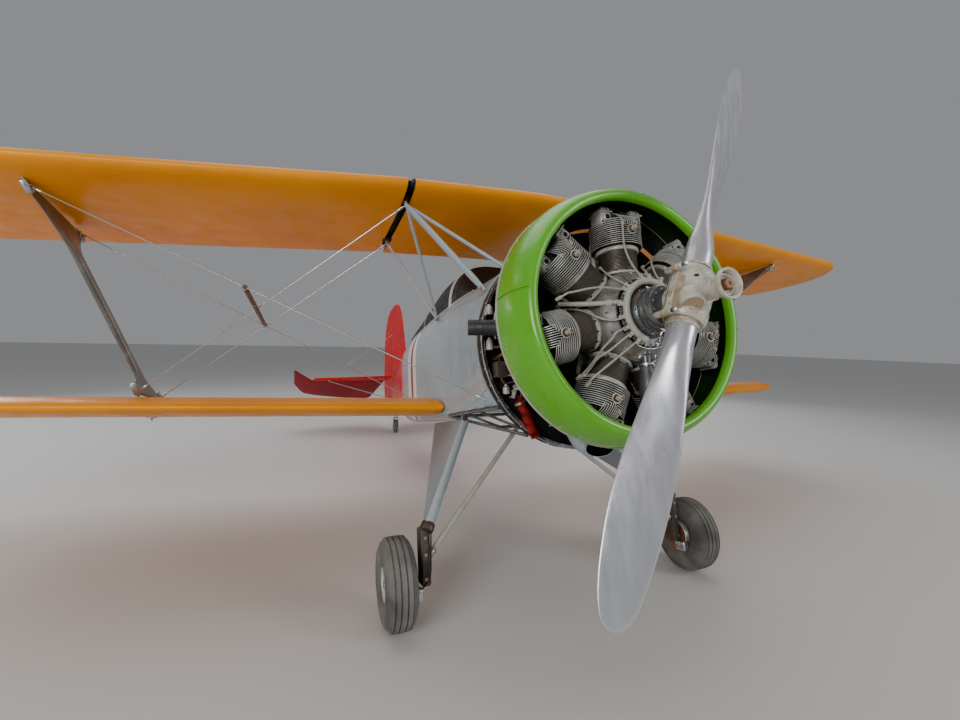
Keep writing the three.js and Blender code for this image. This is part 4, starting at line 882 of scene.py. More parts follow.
def fin(shape, z):
    """A level head fin, with painted shade on its flats and bare metal at its rim."""
    sides, rim, top = 44, HEAD["radius"], z + HEAD["fin"]
    first = len(shape.slots)
    shape.lathe([(94, z), (rim - 4, z), (rim - 1, z - 0.3), (rim, z + 0.3), (rim, top - 0.3),
                 (rim - 1, top + 0.3), (rim - 4, top), (94, top)], Matrix.Translation((0, CYLINDER_Y, 0)),
                sides, 6, loop=True)
    shape.slots[first + sides:first + 6 * sides] = [1] * (5 * sides)


def bent_fins(s):
    """Fins that lie level on the flanks and turn up beside the middle, with painted shade on their flats."""
    h = HEAD
    front, back = CYLINDER_Y - h["radius"], CYLINDER_Y + h["radius"]
    for k in range(h["bent"]):
        z, x = h["first"] + (h["level"] + k) * h["pitch"], 5 + h["pitch"] * k
        start = math.asin(min(x / h["radius"], 1))
        reach = CYLINDER_Y - math.sqrt(h["radius"] ** 2 - x ** 2) - front
        turns = [-math.pi / 2 + start + (math.pi - 2 * start) * i / 24 for i in range(25)]
        rise = [(front + reach, z), (front + reach, 436), (front + reach + 10, 462), (36, 488), (58, 503),
                (84, h["dome"] + 2)]
        fall = [(132, h["dome"] + 2), (158, 503), (180, 488), (back - reach - 10, 462), (back - reach, 436),
                (back - reach, z)]
        for side in (-1, 1):
            outer, inner = ([(side * math.cos(turn) * radius, CYLINDER_Y + math.sin(turn) * radius)
                             for turn in turns] for radius in (h["radius"], 92))
            s.rings([[(px, py, z + dz) for px, py in outer + inner[::-1]] for dz in (0, h["fin"])], 6)
            s.tube([(px, py, z + h["fin"] / 2) for px, py in outer], h["fin"] * 0.75, 6, 1)
            plate(s, side * x, rise + fall, h["fin"], 1)


def rocker_box(s, side):
    """Rocker box with its cover, shaft cap and nuts, and the pushrod's tube behind it."""
    box_at = facing((side * 84, 92, 440), UP, AFTWARD)
    s.block((62, 90, 66), box_at, 14, 2)
    s.block((70, 100, 7), box_at @ Matrix.Translation((0, 0, 60)), 3, 2)
    s.block((58, 88, 25), box_at @ Matrix.Translation((0, 0, 66)), 11, 2, 0.88)
    s.bolt(box_at @ Vector((0, 0, 90)), UP, 7, 6, 6)
    for dx, dy in ((-29, -43), (29, -43), (29, 43), (-29, 43), (0, -46), (0, 46)):
        s.bolt(box_at @ Vector((dx, dy, 66)), UP, 4.6, 6, 6, washer=False)
    s.lathe([(0, 0), (19, 0), (19, 5), (16, 8), (0, 8)], facing((side * 84, 48, 474), FORWARD), 22, 2)
    s.bolt((side * 84, 41, 474), FORWARD, 8, 7, 6)
    for dx in (-24, 24):
        s.bolt((side * 84 + dx, 49, 452), FORWARD, 4.4, 6, 6, washer=False)
    s.tube([(side * 50, 192, 214), (side * 90, 128, 486)], 8.5, 12, 3)
    low = facing((side * 50, 192, 214), Vector((side * 40, -64, 272)))
    s.lathe([(0, 0), (15, 0), (15, 14), (11, 18), (11, 34), (0, 34)], low, 14, 3)


def cylinder_shape():
    s = Shape()
    base = Matrix.Translation((0, CYLINDER_Y, 0))
    # Flange and barrel with fine fins
    s.lathe([(0, 206), (95, 206), (96, 208), (96, 215), (92, 218), (84, 220), (82, 224)], base, 36, 2)
    profile = [(82, 223)]
    for i in range(15):
        z = 225 + i * 6.1
        profile += [(81, z), (90, z + 0.7), (90, z + 2.4), (81, z + 3.1)]
    s.lathe(profile + [(82, 317)], base, 36, 0)
    for x, y in around(12, 88, 0.5):
        s.bolt(base @ Vector((x, y, 215)), UP, 5.5, 10, 6, washer=False)
    # Smooth band, then the head's core in painted shade between the fins, and its level fins
    s.lathe([(84, 315), (97, 316), (100, 320), (100, 330), (97, 334), (84, 335)], base, 40, 2)
    h = HEAD
    s.lathe([(60, 334), (h["root"], 335), (h["root"], 446), (84, 452), (80, 460), (78, 496), (60, 500),
             (0, 500)], base, 36, 6)
    for i in range(h["level"]):
        fin(s, h["first"] + i * h["pitch"])
    bent_fins(s)
    for side in (-1, 1):
        rocker_box(s, side)
    # Inlet pipe
    s.tube([(-40, 182, 432), (-48, 213, 412), (-52, 222, 360), (-44, 221, 262), (-42, 204, 226)], 17, 14, 2,
           steps=5)
    # Spark plug in its hollow, a near-black disc of painted shade
    plug = facing((0, CYLINDER_Y - h["radius"] - 1, 400), FORWARD)
    s.lathe(disc(19, 0, 1), plug, 24, 6)
    s.lathe(hoop(18, 22, -2, 3), plug, 24, 1, loop=True)
    s.lathe([(0, 0), (14, 0), (14, 9), (11, 11), (0, 11)], plug, 6, 4)
    s.lathe([(0, 10), (10, 10), (10, 15), (8.5, 16), (8.5, 33), (10, 34), (10, 39), (8, 41), (0, 41)], plug,
            16, 5)
    s.lathe(disc(7, 40, 46), plug, 6, 4)
    return s


def build_cylinders():
    shape = cylinder_shape()
    # The last finish, near-black, is painted shade between the fins and in the plug's hollow
    finishes = "barrel head cover steel copper cream dark"
    data = None
    for i in range(CYLINDERS):
        turn = ENGINE @ Matrix.Rotation(i / CYLINDERS * TURN, 4, "Y")
        name = f"cylinder_{i + 1}_detail"
        if data is None:
            piece = shape.object(name, finishes, turn, sharp=40)
            data = piece.data
        else:
            piece = bpy.data.objects.new(name, data.copy())
            bpy.context.scene.collection.objects.link(piece)
            piece.matrix_world = turn
        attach(piece, "airframe")
        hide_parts(f"cylinder_{i + 1}")


NOSE_CASE = [(0, -196), (50, -196), (52, -190), (52, -168), (60, -166), (84, -164), (88, -158), (90, -130),
             (93, -96), (98, -91), (104, -84), (106, -76), (110, -62), (113, -54), (118, -50), (0, -50)]
CASE_CONE = [(112, -48), (114, -52), (144, -52), (148, -48), (156, -40), (186, -22), (198, -8), (203, 1),
             (203, 202), (198, 208), (0, 208)]
CASE_RIB = [(136, -52), (160, -38), (186, -24), (202, 0), (206, 60)]
SUMP = [(0, 0), (30, 0), (30, 10), (24, 16), (22, 40), (26, 60), (36, 100), (42, 140), (42, 180), (36, 220),
        (28, 258), (18, 268), (0, 271)]
REAR_CASE = [(0, 208.4), (188, 208.4), (190, 214), (190, 260), (184, 267), (152, 281), (150, 288),
             (150, 380), (144, 385), (0, 385)]
# Rings round the nose: radius, y and width. Rows of bolts: count, radius and y.
NOSE_RINGS = ((92, -112, 8), (90, -136, 10), (152, -44, 8))
CASE_BOLTS = ((14, 100, -88), (14, 142, -52), (12, 72, -166), (14, 188, -18))


def build_crankcase():
    s = Shape().lathe(NOSE_CASE, AFT, 72)
    s.lathe(CASE_CONE, AFT, 72, 3)
    s.lathe([(200, 0), (205, 2), (205.5, 6), (205.5, 200), (205, 205), (200, 207)], AFT, 84, 3, loop=True)
    for radius, y, width in NOSE_RINGS:
        s.lathe([(radius - 4, y - width / 2), (radius + 5, y - width / 2), (radius + 6, y),
                 (radius + 5, y + width / 2), (radius - 4, y + width / 2)], AFT, 72, 1, loop=True)
    for count, radius, y in CASE_BOLTS:
        for i in range(count):
            s.bolt(ring_of(radius, y, (i + 0.5) / count), FORWARD, 5, 8, 1)
    for i in range(CYLINDERS):
        s.tube([ring_of(r, y, (i + 0.5) / CYLINDERS) for r, y in CASE_RIB], 7, 8, 3, steps=3)
    sump = facing((0, -10, -166), DOWN)
    s.lathe(SUMP, sump, 28)
    s.lathe(hoop(22, 38, 50, 58), sump, 28, 1, loop=True)
    for x, y in around(4, 32, 0.5):
        s.bolt(sump @ Vector((x, y, 58)), DOWN, 4, 6, 2, washer=False)
    s.lathe(disc(12, 264, 276), sump, 6, 2)
    s.piece("crankcase_detail", "case steel bright case_cone", "case_grey", replaces=["crankcase"],
            space=ENGINE)


def build_accessories():
    s = Shape().lathe(REAR_CASE, AFT, 56)
    for side in (-1, 1):
        magneto = facing((side * 95, 380, 60), AFTWARD)
        s.block((106, 116, 84), magneto, 16)
        s.lathe([(0, 80), (44, 80), (46, 90), (40, 112), (30, 118), (0, 118)], magneto, 24, 1)
        for x, y in around(5, 30):
            s.lathe([(0, 0), (7, 0), (6, 16), (0, 16)], facing(magneto @ Vector((x, y, 112)), AFTWARD), 10, 2)
    s.block((124, 124, 108), facing((0, 382, -95), AFTWARD), 12)
    s.lathe([(0, 0), (38, 0), (38, 60), (30, 66), (0, 66)], facing((0, 430, 130), UP), 20, 1)
    for i in range(12):
        s.bolt(ring_of(170, 270, (i + 0.5) / 12), AFTWARD, 5.5, 8, 1)
    s.piece("accessory_detail", "case steel cream", "case_grey", replaces=["accessory_case"], space=ENGINE)


# Leads seen from the front: points across, aft and up from the thrust line, and whether the end has a fitting
LEADS = [
    ([(-113, -70, 113), (-137, 0, 173), (-124, 80, 239)], False),
    ([(-128, -70, 96), (-208, -50, 101), (-269, -30, 99), (-340, 0, 87), (-347, 10, 89), (-384, 50, 67)],
     True),
    ([(-146, -70, -28), (-174, -50, -38), (-208, -30, -31), (-237, 0, -10), (-252, 50, 22), (-263, 100, 43),
      (-271, 170, 61)], False),
    ([(-128, -70, -72), (-175, -60, -90), (-191, -40, -116), (-212, 0, -152), (-232, 80, -218),
      (-255, 140, -260)], True),
    ([(-114, -70, -101), (-140, -60, -115), (-181, -20, -155), (-217, 30, -186), (-220, 80, -218),
      (-245, 120, -263)], True),
    ([(-82, -70, -129), (-128, -50, -163), (-250, 20, -265), (-266, 60, -299)], True),
    ([(-27, -70, 153), (-40, -60, 181), (-49, -40, 226), (-52, -20, 282), (-57, -17, 332), (-52, -16, 425)],
     False),
    ([(15, -70, 156), (34, -30, 197), (60, 20, 235), (118, 70, 262)], False),
]
CONDUIT = [(-146, -70, 27), (-145, -50, 41), (-164, -30, 42), (-258, 30, 49), (-318, 140, 75)]
RING = {"radius": 133, "tube": 14.5, "y": -80, "start": 0.56, "end": 1.36}
LEAD = 4.8
# Cylinders whose leads the propeller hides, and where their plugs' elbows are on an upright cylinder
HIDDEN_LEADS, HIDDEN_PLUG = (1, 2, 3), (-123, CYLINDER_Y, 382)


def circle(radius, y, steps, start=0.0, end=1.0):
    return [ring_of(radius, y, start + (end - start) * i / steps) for i in range(steps + 1)]


def build_ignition():
    s = Shape()
    radius, y = RING["radius"], RING["y"]
    s.tube(circle(radius, y, 72, RING["start"], RING["end"]), RING["tube"], 16, 0)
    for share, turn in ((RING["start"], -0.25), (RING["end"], 0.25)):
        s.dome(ring_of(radius, y, share), outward(share + turn), 15.5, 10)

    def collar(first):
        """A collar on the ring towards a lead's first point, and the point where the lead leaves it."""
        root = ring_of(radius, y, math.atan2(first.x, first.z) / TURN)
        out = (first - root).normalized()
        at = facing(root + out * 12, out)
        s.lathe([(0, -4), (9.5, -4), (9.5, 9), (7, 11), (7, 17), (0, 17)], at, 14, 0)
        s.lathe(hoop(6.5, 10, 15, 23), at, 6, 0, loop=True)
        return root + out * 14

    for points, fitted in LEADS:
        points = [Vector(p) for p in points]
        points[0] = collar(points[0])
        s.tube(points, LEAD, 8, 1, steps=6)
        last = points[-1]
        s.lathe([(0, -26), (7, -26), (8.5, -22), (8.5, 0), (6, 4), (0, 4)] if fitted
                else disc(6.5, -14, 0), facing(last, last - points[-2]), 14, 0)
    s.tube([collar(Vector(CONDUIT[0]))] + CONDUIT[1:], 10.5, 12, 0, steps=6)
    s.lathe([(9, 0), (14, 0), (15, 4), (15, 18), (13, 24), (9, 24)],
            facing(CONDUIT[2], Vector(CONDUIT[3]) - Vector(CONDUIT[2])), 16, 0, loop=True)
    for i in range(CYLINDERS):
        share = i / CYLINDERS
        s.tube([ring_of(radius, y, share), ring_of(radius, -52.4, share)], 7, 10, 2)
        s.block((30, 20, 6), facing(ring_of(radius, -59, share), AFTWARD), 3, 2)
        if i in HIDDEN_LEADS:
            between = share - 0.5 / CYLINDERS
            plug = Matrix.Rotation(share * TURN, 3, "Y") @ Vector(HIDDEN_PLUG)
            s.tube([collar(ring_of(150, y, between)), ring_of(220, -20, between), ring_of(300, 30, between),
                    plug], LEAD, 8, 1, steps=6)
    s.piece("ignition_harness", "cream braid steel", "white_paint", replaces=["ignition_ring"],
            space=ENGINE)


def build_mount():
    s = Shape()
    radius, y, foot_x, foot_z, end_y = 208, 235, 330, 300, 542
    s.tube(circle(radius, y, 48), 12, 12)
    for share in (0, 0.25, 0.5, 0.75):
        s.tube([ring_of(radius, y, share), ring_of(186, y, share)], 11, 12)
        s.bolt(ring_of(radius + 10, y, share), outward(share), 9, 9, 1)
    for side in (-1, 1):
        for up in (-1, 1):
            foot = Vector((side * foot_x, end_y, up * foot_z))
            for share in (0.15, 0.85):
                angle = share * math.pi / 2
                s.tube([(side * radius * math.cos(angle), y, up * radius * math.sin(angle)), foot], 11, 12)
            s.lathe([(0, -6), (16, -6), (22, 0), (22, 11), (0, 11)], facing(foot, AFTWARD), 18)
            s.bolt(foot + Vector((side * 16, 0, up * 16)), FORWARD, 6, 9, 1)
    s.piece("engine_mount_tubes", "case bright", "steel", replaces=["engine_mount"], space=ENGINE)


def build_exhaust():
    s = Shape()
    s.tube(circle(330, 285, 72), 32, 20)
    for i in range(CYLINDERS):
        share = i / CYLINDERS
        s.tube([ring_of(r, y, share) for r, y in ((397, 228), (395, 242), (376, 264), (345, 280))], 20, 14,
               steps=4)
        s.lathe(hoop(18, 28, 0, 8), facing(ring_of(397, 227, share), AFTWARD), 18, loop=True)
    start, end = Vector((-330, 285, 0)), Vector((-660, 395, 17))
    along = facing(start, end - start)
    length = (end - start).length
    s.lathe([(37, 0), (37, length - 3), (36, length), (34.5, length), (34, length - 3), (34, length - 150),
             (0, length - 152)], along, 36)
    s.lathe(hoop(37, 40, 108, 122), along, 36, loop=True)
    s.piece("exhaust_pipes", "black", "exhaust_black", replaces=["exhaust"], space=ENGINE)


OVAL_POINTS = 40
# Intake's stations: place, direction, half width, half height
INTAKE = [[6, 388, -603, 0, 1, 0.05, 86, 43], [2, 425, -598, -0.2, 1, 0.3, 82, 45],
          [-36, 446, -570, -1, 0.6, 1, 64, 50], [-84, 448, -520, -0.6, 0.1, 1, 52, 48],
          [-104, 448, -430, 0, 0, 1, 48, 48]]
INTAKE_WALL, THROAT_STATIONS = 4, 16
# The red duct's ends, its steps and its radius, which swells and narrows at each step
DUCT_START, DUCT_END = Vector((-385, 470.6, -345)), Vector((-300, 470.6, -534))
DUCT_STEPS, DUCT_RADIUS, DUCT_SWELL = 44, 24.5, 2.6


def oval(at, direction, half_width, half_height):
    along = Vector(direction).normalized()
    across = (Vector(LEFT) - along * along.x).normalized()
    rise = along.cross(across)
    return [Vector(at) + across * (c * half_width) + rise * (s * half_height)
            for c, s in around(OVAL_POINTS, 1)]


def build_intake():
    rows = smoothed(INTAKE, 6)
    outer = [oval(r[:3], r[3:6], r[6], r[7]) for r in rows]
    inner = [oval(r[:3], r[3:6], r[6] - INTAKE_WALL, r[7] - INTAKE_WALL) for r in rows[:THROAT_STATIONS]]
    lip = [oval((6, 386, -603), (0, 1, 0.05), 84, 41)]
    shape = Shape().rings(inner[::-1] + lip + outer)
    # The throat and its deep end take the near-black finish: painted shade inside the intake
    throat = OVAL_POINTS * (THROAT_STATIONS - 1)
    shape.slots[:throat] = [1] * throat
    shape.slots[-2] = 1
    shape.piece("air_intake_scoop", "silver dark", "silver_paint", replaces=["air_intake"])


def build_duct():
    along = DUCT_END - DUCT_START
    points, sizes = [], []
    for i in range(DUCT_STEPS + 1):
        t = i / DUCT_STEPS
        sway = Vector((math.sin(t * 5) * 5 + math.sin(t * 23) * 2, math.sin(t * 3.3) * 3, 0))
        points.append(DUCT_START + along * t + sway)
        # Its lower end is torn, the rest only dented
        ragged = 1 + (0.2 * math.sin(i * 2.7) if t > 0.82 else 0.07 * math.sin(t * 17))
        sizes.append((DUCT_RADIUS + DUCT_SWELL * math.cos(i * math.pi)) * ragged)
    s = Shape().tube(points, sizes, 22, flat=0.86)
    s.lathe(hoop(25, 29, -4, 8), facing(DUCT_START + along * 0.06, along), 22, 1, loop=True)
    s.piece("cooling_hose", "hose steel", "red_paint", replaces=["cooling_duct"])


# Boxes behind the engine: middle, size and slot
BAY_BOXES = [(-300, 455, 120, 90, 70, 120, 0), (-262, 462, -150, 80, 66, 110, 1),
             (250, 455, 60, 110, 80, 130, 0), (40, 470, 250, 150, 60, 90, 1),
             (-150, 480, 300, 60, 40, 60, 2), (-200, 480, -360, 110, 44, 60, 0),
             (180, 470, -300, 90, 60, 120, 2)]
BAY_LINES, SIDE_LINES, BAY_SEED = 26, 18, 11
FIREWALL_Z, EDGE_RIVETS = -55, 40
BELLY_STRUTS = [((-430, 900, -374), (-230, 700, -500)), ((430, 900, -374), (230, 700, -500)),
                ((-250, 700, -500), (-40, 1000, -400)), ((250, 700, -500), (40, 1000, -400)),
                ((-300, 900, -470), (-430, 1150, -372)), ((300, 900, -470), (430, 1150, -372))]


def build_bay():
    """Hoses, wires and boxes between the engine and the firewall."""
    draw = random.Random(BAY_SEED)
    s = Shape()
    for x, y, z, w, d, h, slot in BAY_BOXES:
        s.block((w, d, h), facing((x, y, z - h / 2), UP), 8, slot)
        for dx in (-1, 1):
            s.bolt((x + dx * w * 0.36, y - d / 2, z), FORWARD, 5, 5, 3)
        s.tube([(x, y + d / 2 - 4, z), (x, 548, z)], 9, 10, 3)
    for k in range(BAY_LINES):
        share = draw.uniform(0.5, 1.0) if k % 3 else draw.uniform(0, 0.5)
        begin = ring_of(draw.uniform(150, 195), draw.uniform(255, 300), share)
        middle = ring_of(draw.uniform(240, 420), draw.uniform(400, 460), share + draw.uniform(-0.05, 0.05))
        end = ring_of(draw.uniform(260, 470), 546, share + draw.uniform(-0.08, 0.08))
        droop = Vector((0, 0, -draw.uniform(10, 60)))
        s.tube([begin, begin + Vector((0, 60, 0)), middle + droop, end + Vector((0, -40, 0)), end],
               draw.choice([3.5, 5, 6.5, 9]), 8, draw.choice([1, 1, 0, 2, 3, 4]), steps=6)
        s.lathe(disc(11, -10, 0), facing(end, AFTWARD), 6, 3)
    for x, z, dx, dz in ((-380, -250, -26, -60), (-352, -290, 40, -30), (-330, -200, -50, 20)):
        spot = Vector((x, 500, z))
        s.tube([spot, spot + Vector((dx, -12, dz))], 11, 12, 2)
        s.lathe(disc(16, 0, 12), facing(spot, (dx, -12, dz)), 6, 2)
        s.tube([spot, (x + 20, 548, z + 30)], 7, 10, 3)
    # What shows between the cowl and the firewall's edge on the right side
    s.block((66, 56, 80), facing((-468, 480, -210), UP), 7, 5)
    s.block((50, 50, 110), facing((-470, 490, -20), UP), 7, 3)
    for x, z, height in ((-515, -70, 60), (-506, 110, 50), (-440, -290, 46)):
        s.lathe([(0, 0), (16, 0), (17, 4), (17, height - 14), (9, height - 6), (9, height), (0, height)],
                facing((x, 488, z), UP), 18, 2)
        s.tube([(x, 488, z + 10), (x, 546, z + 10)], 7, 10, 3)
    for _ in range(SIDE_LINES):
        share = draw.uniform(0.58, 0.93)
        begin = ring_of(draw.uniform(400, 440), draw.uniform(380, 430), share)
        middle = ring_of(draw.uniform(470, 512), draw.uniform(440, 490), share + draw.uniform(-0.02, 0.02))
        end = ring_of(draw.uniform(440, 505), 546, share + draw.uniform(-0.04, 0.04))
        s.tube([begin, middle, end + Vector((0, -30, 0)), end], draw.choice([4, 6, 8]), 8,
               draw.choice([1, 2, 3, 3, 4, 5]), steps=6)
    s.piece("engine_bay_lines", "dark black cover steel copper rusty", "steel", space=ENGINE)


def build_firewall_edge():
    ring = Shape().lathe([(536, -62), (552, -62), (554, -58), (553, -50), (538, -50)],
                         facing((0, 560, FIREWALL_Z), AFTWARD), 128, loop=True)
    for i in range(EDGE_RIVETS):
        share = (i + 0.5) / EDGE_RIVETS
        ring.dome(ring_of(552.5, 520, share) + Vector((0, 0, FIREWALL_Z)), outward(share), 5, 2)
    ring.piece("firewall_edge", "bright", "steel")


def build_belly():
    belly = Shape()
    for side in (-1, 1):
        belly.tube([on_side((440, 575, -372), side), on_side((430, 1450, -372), side)], 11, 12)
        belly.tube([on_side((300, 572, -520), side), on_side((430, 1440, -378), side)], 10, 12)
    for y, z, half in ((700, -500, 250), (900, -470, 300), (1440, -378, 430)):
        belly.tube([(-half, y, z), (half, y, z)], 10, 12)
    for ends in BELLY_STRUTS:
        belly.tube(ends, 8, 10)
    belly.tube([(-120, 575, -480), (-90, 800, -470), (-60, 1300, -390)], 14, 12, 1, steps=5)
    belly.piece("belly_tubes", "case dark", "steel")


# Propeller
LAY = Matrix.Rotation(math.radians(23.8), 4, "Y")
HUB_MIDDLE = Matrix.Translation((0, PROPELLER_Y, 0))
HUB_SQUASH = Matrix.Scale(78 / 88, 4, AFTWARD)
HUB_BARREL = [(0, 0), (88, 0), (88, 30), (86, 34), (86, 62), (88, 66), (88, 84), (86, 94), (81, 104),
              (78, 110), (75, 112), (72, 110), (69, 104), (64, 106), (62, 112), (61, 124), (58, 129),
              (0, 129)]
HUB_DOME = [(0, -78), (60, -78), (64, -70), (64, 40), (58, 62), (50, 72), (46, 76), (46, 82), (42, 84),
            (37, 85), (35, 89), (35, 97), (37, 118), (41, 140), (47, 162), (53, 169), (56, 175), (57, 181),
            (57, 188), (56, 190), (54, 190), (52, 187), (50, 187), (49, 190), (48, 189), (46, 180),
            (45, 164)]
DOME_NUT = [(0, 162), (22, 162), (22, 182), (19, 185), (8, 185), (7, 181), (0, 181)]
PIN_BOSS = [(0, -34), (30, -30), (42, -18), (44, 0), (44, 32), (47, 35), (47, 47), (45, 50), (39, 50),
            (37, 48), (36, 44), (0, 44)]
# Dark marks on the hub's front: place across, ahead and up, and size
HUB_MARKS = ((-20, 68, 67, 13), (-53, 56, 14, 9), (-98, 4, -16, 8))
# Blade's stations: distance out, chord, thickness, pitch in radians, shift of the chord's middle
BLADE = [[128.6, 112, 112, 0, 0], [170, 112, 111, 0.06, 0], [205, 113, 107, 0.2, 0], [260, 122, 92, 0.45, 0],
         [330, 128, 66, 0.58, 0], [420, 147, 44, 0.62, 1], [540, 171, 35, 0.56, 2], [640, 190, 30, 0.5, 4],
         [780, 201, 24, 0.43, 6], [900, 195, 20, 0.38, 6], [1020, 175, 16, 0.33, 4], [1100, 150, 13, 0.3, 2],
         [1150, 122, 11, 0.29, 0], [1180, 92, 9, 0.28, 0], [1198, 52, 7, 0.27, 0], [1205, 20, 5, 0.27, 0]]
# Where the blade's trailing edge starts to thin, over how far it does, and by how much
EDGE_FROM, EDGE_OVER, EDGE_THINNING = 230, 200, 0.25


def build_hub():
    hub = Shape()
    for up in (-1, 1):
        axis = HUB_MIDDLE @ HUB_SQUASH @ facing((0, 0, 0), LAY @ Vector((0, 0, up)))
        hub.lathe(HUB_BARREL, axis, 56)
    dome = facing((0, PROPELLER_Y, 0), FORWARD)
    hub.lathe(HUB_DOME, dome, 64, caps=False)
    hub.lathe([(0, 163), (45.5, 164)], dome, 48, 3, caps=False)
    hub.lathe(hoop(34, 41, 163, 169), dome, 40, 0, loop=True)
    hub.lathe(DOME_NUT, dome, 6, 1)

    def spot(across, ahead, along):
        """A point by its distances across the blades, ahead of the hub's middle and along the blades."""
        return HUB_MIDDLE @ LAY @ Vector((across, -ahead, along))

    for flip in (-1, 1):
        # Boss for the blade's pitch pin, open towards the blade
        boss = facing(spot(40 * flip, 56, 34 * flip), LAY @ Vector((0, -0.5, flip)))
        hub.lathe(PIN_BOSS, boss, 40)
        hub.lathe([(0, 45), (36, 45)], boss, 40, 3, caps=False)
    # Flat joint at the hub's side, its worn face and its dark seam
    along = LAY @ Vector(UP)
    for size, place, corner, slot in (((44, 44, 156), (-84, 20, -106), 5, 0),
                                      ((36, 4, 146), (-86, 41.5, -101), 1.8, 3),
                                      ((46, 3, 158), (-84, 8, -107), 1, 4)):
        hub.block(size, facing(spot(*place), along, AFTWARD), corner, slot)
    # Clamp bolt at each end of the joint
    for place in (64, -130):
        clamp = facing(spot(-114, -18, place), FORWARD)
        hub.lathe([(0, 0), (9, 0), (12, 6), (12, 78), (9, 82), (0, 82)], clamp, 18, 0)
        hub.lathe([(12, 36), (14, 38), (14, 54), (12, 56)], clamp, 18, 3, loop=True)
        hub.lathe([(0, 81), (8, 81), (9.5, 84), (9.5, 98), (6, 102), (0, 102)], clamp, 6, 2)
    for x, ahead, z, size in HUB_MARKS:
        mark = facing((x, PROPELLER_Y - ahead, z), (x, -ahead, 0)) @ Matrix.Scale(2, 4, LEFT)
        hub.lathe([(0, -1), (size * 0.4, -1), (size * 0.4, 1.2), (0, 1.6)], mark, 16, 4)
    hub.piece("propeller_hub_detail", "hub_white copper steel wood_tan dark", "white_paint", "propeller",
              ["propeller_hub"], ENGINE)


def blade_ring(out, chord, thick, pitch, shift):
    thinning = min(max((out - EDGE_FROM) / EDGE_OVER, 0), 1) * EDGE_THINNING
    ring = []
    for c, s in around(40, 1):
        a, b = c * chord / 2 + shift, s * thick / 2 * (1 - thinning * (1 + c))
        ring.append((a * math.cos(pitch) - b * math.sin(pitch),
                     PROPELLER_Y + a * math.sin(pitch) + b * math.cos(pitch), out))
    return ring


def build_propeller():
    build_hub()
    rings = [blade_ring(*row) for row in smoothed(BLADE, 3)]
    for index, turn in ((1, 0), (2, math.pi)):
        place = LAY @ Matrix.Rotation(turn, 4, "Y")
        Shape().rings(rings, at=place).piece(f"propeller_blade_{index}_skin", "blade", "blade_metal",
                                             "propeller", [f"propeller_blade_{index}"], ENGINE, sharp=60)
        root = facing(place @ Vector((0, PROPELLER_Y, 0)), place.to_3x3() @ Vector(UP))
        collar = Shape().lathe([(56.5, 124), (61, 124), (62.5, 128), (61.5, 133), (57, 135)], root, 40,
                               loop=True)
        collar.piece(f"blade_collar_{index}", "hub_white", "white_paint", "propeller", space=ENGINE)


# Struts and wires
STRUT = {"top": (2672, 1222, 874), "top_spars": 627, "bottom": (2325, 1880, -135), "bottom_spars": 540}
FRONT_HEAD, REAR_HEAD = (800, 958, 866), (800, 1580, 880)
FRONT_FOOT, INNER_FOOT, REAR_FOOT = (464, 636, 262), (300, 650, 392), (432, 1630, 335)
# Interplane strut's stations: share of its height, chord, thickness
STRUT_STATIONS = [[0, 580, 20], [0.035, 540, 26], [0.07, 390, 32], [0.1, 250, 34], [0.14, 165, 40],
                  [0.18, 130, 42], [0.5, 112, 44], [0.76, 130, 42], [0.82, 205, 38], [0.87, 330, 34],
                  [0.92, 480, 30], [0.965, 627, 26], [1, 668, 22]]
# How a cabane tube thins towards its ends: share of its length and of its size
TUBE_TAPER = ((0.0, 0.7), (0.05, 0.8), (0.12, 1), (0.9, 1), (0.97, 0.8), (1, 0.7))
PIN_Z = 932
WIRE, TAIL_WIRE = 3.4, 3


def faired(shape, stations, sides=28, slot=0):
    """A streamlined bar whose chord lies along Y: each station is point, chord, thickness."""
    along = Vector(stations[-1][0]) - Vector(stations[0][0])
    aft = Vector(AFTWARD)
    across = aft.cross(along).normalized()
    rings = [[Vector(point) + aft * (c * chord / 2) + across * (s * thick / 2) for c, s in around(sides, 1)]
             for point, chord, thick in stations]
    return shape.rings(rings, slot)


def clevis(shape, at, direction, slot):
    """A fork end with a barrel nut at a wire's end."""
    base = facing(at, direction)
    shape.lathe([(0, 10), (6, 10), (7, 14), (7, 44), (5, 48), (4, 60), (0, 60)], base, 12, slot)
    shape.block((18, 7, 22), base, 2.5, slot)
    shape.lathe(disc(4, -8, 8), facing(base @ Vector((0, 0, 6)), base.to_3x3() @ Vector(AFTWARD)), 8, slot)


def cross_point(a, b, c, d):
    def slope(p, q):
        return (q.z - p.z) / (q.x - p.x)
    x = (c.z - a.z + slope(a, b) * a.x - slope(c, d) * c.x) / (slope(a, b) - slope(c, d))
    return a.lerp(b, (x - a.x) / (b.x - a.x))


def build_interplane_strut(name, side):
    top = on_side(STRUT["top"], side) + Vector((0, STRUT["top_spars"] / 2, 0))
    bottom = on_side(STRUT["bottom"], side) + Vector((0, STRUT["bottom_spars"] / 2, 0))
    # The strut's body takes the darkened strut finish: painted shade under the upper wing
    s = faired(Shape(), [(bottom.lerp(top, max(0, min(1, share))), chord, thick)
                         for share, chord, thick in smoothed(STRUT_STATIONS, 3)])
    up = (top - bottom).normalized()
    for step, anchor, spars in ((up, bottom, STRUT["bottom_spars"]), (-up, top, STRUT["top_spars"])):
        for fore in (-1, 1):
            pin = anchor + Vector((0, fore * spars / 2, 0))
            s.block((30, 46, 70), facing(pin - step * 6, step, AFTWARD), 5, 1)
            for k in (18, 46):
                s.bolt(pin + step * k + Vector((side * -16, 0, 0)), (-side, 0, 0), 5.5, 6, 2)
            s.tube([pin - step * 24, pin + step * 30], 9, 12, 1)
    s.piece(f"interplane_strut_{name}_detail", "strut steel bright", "silver_paint",
            replaces=[f"interplane_strut_{name}"])


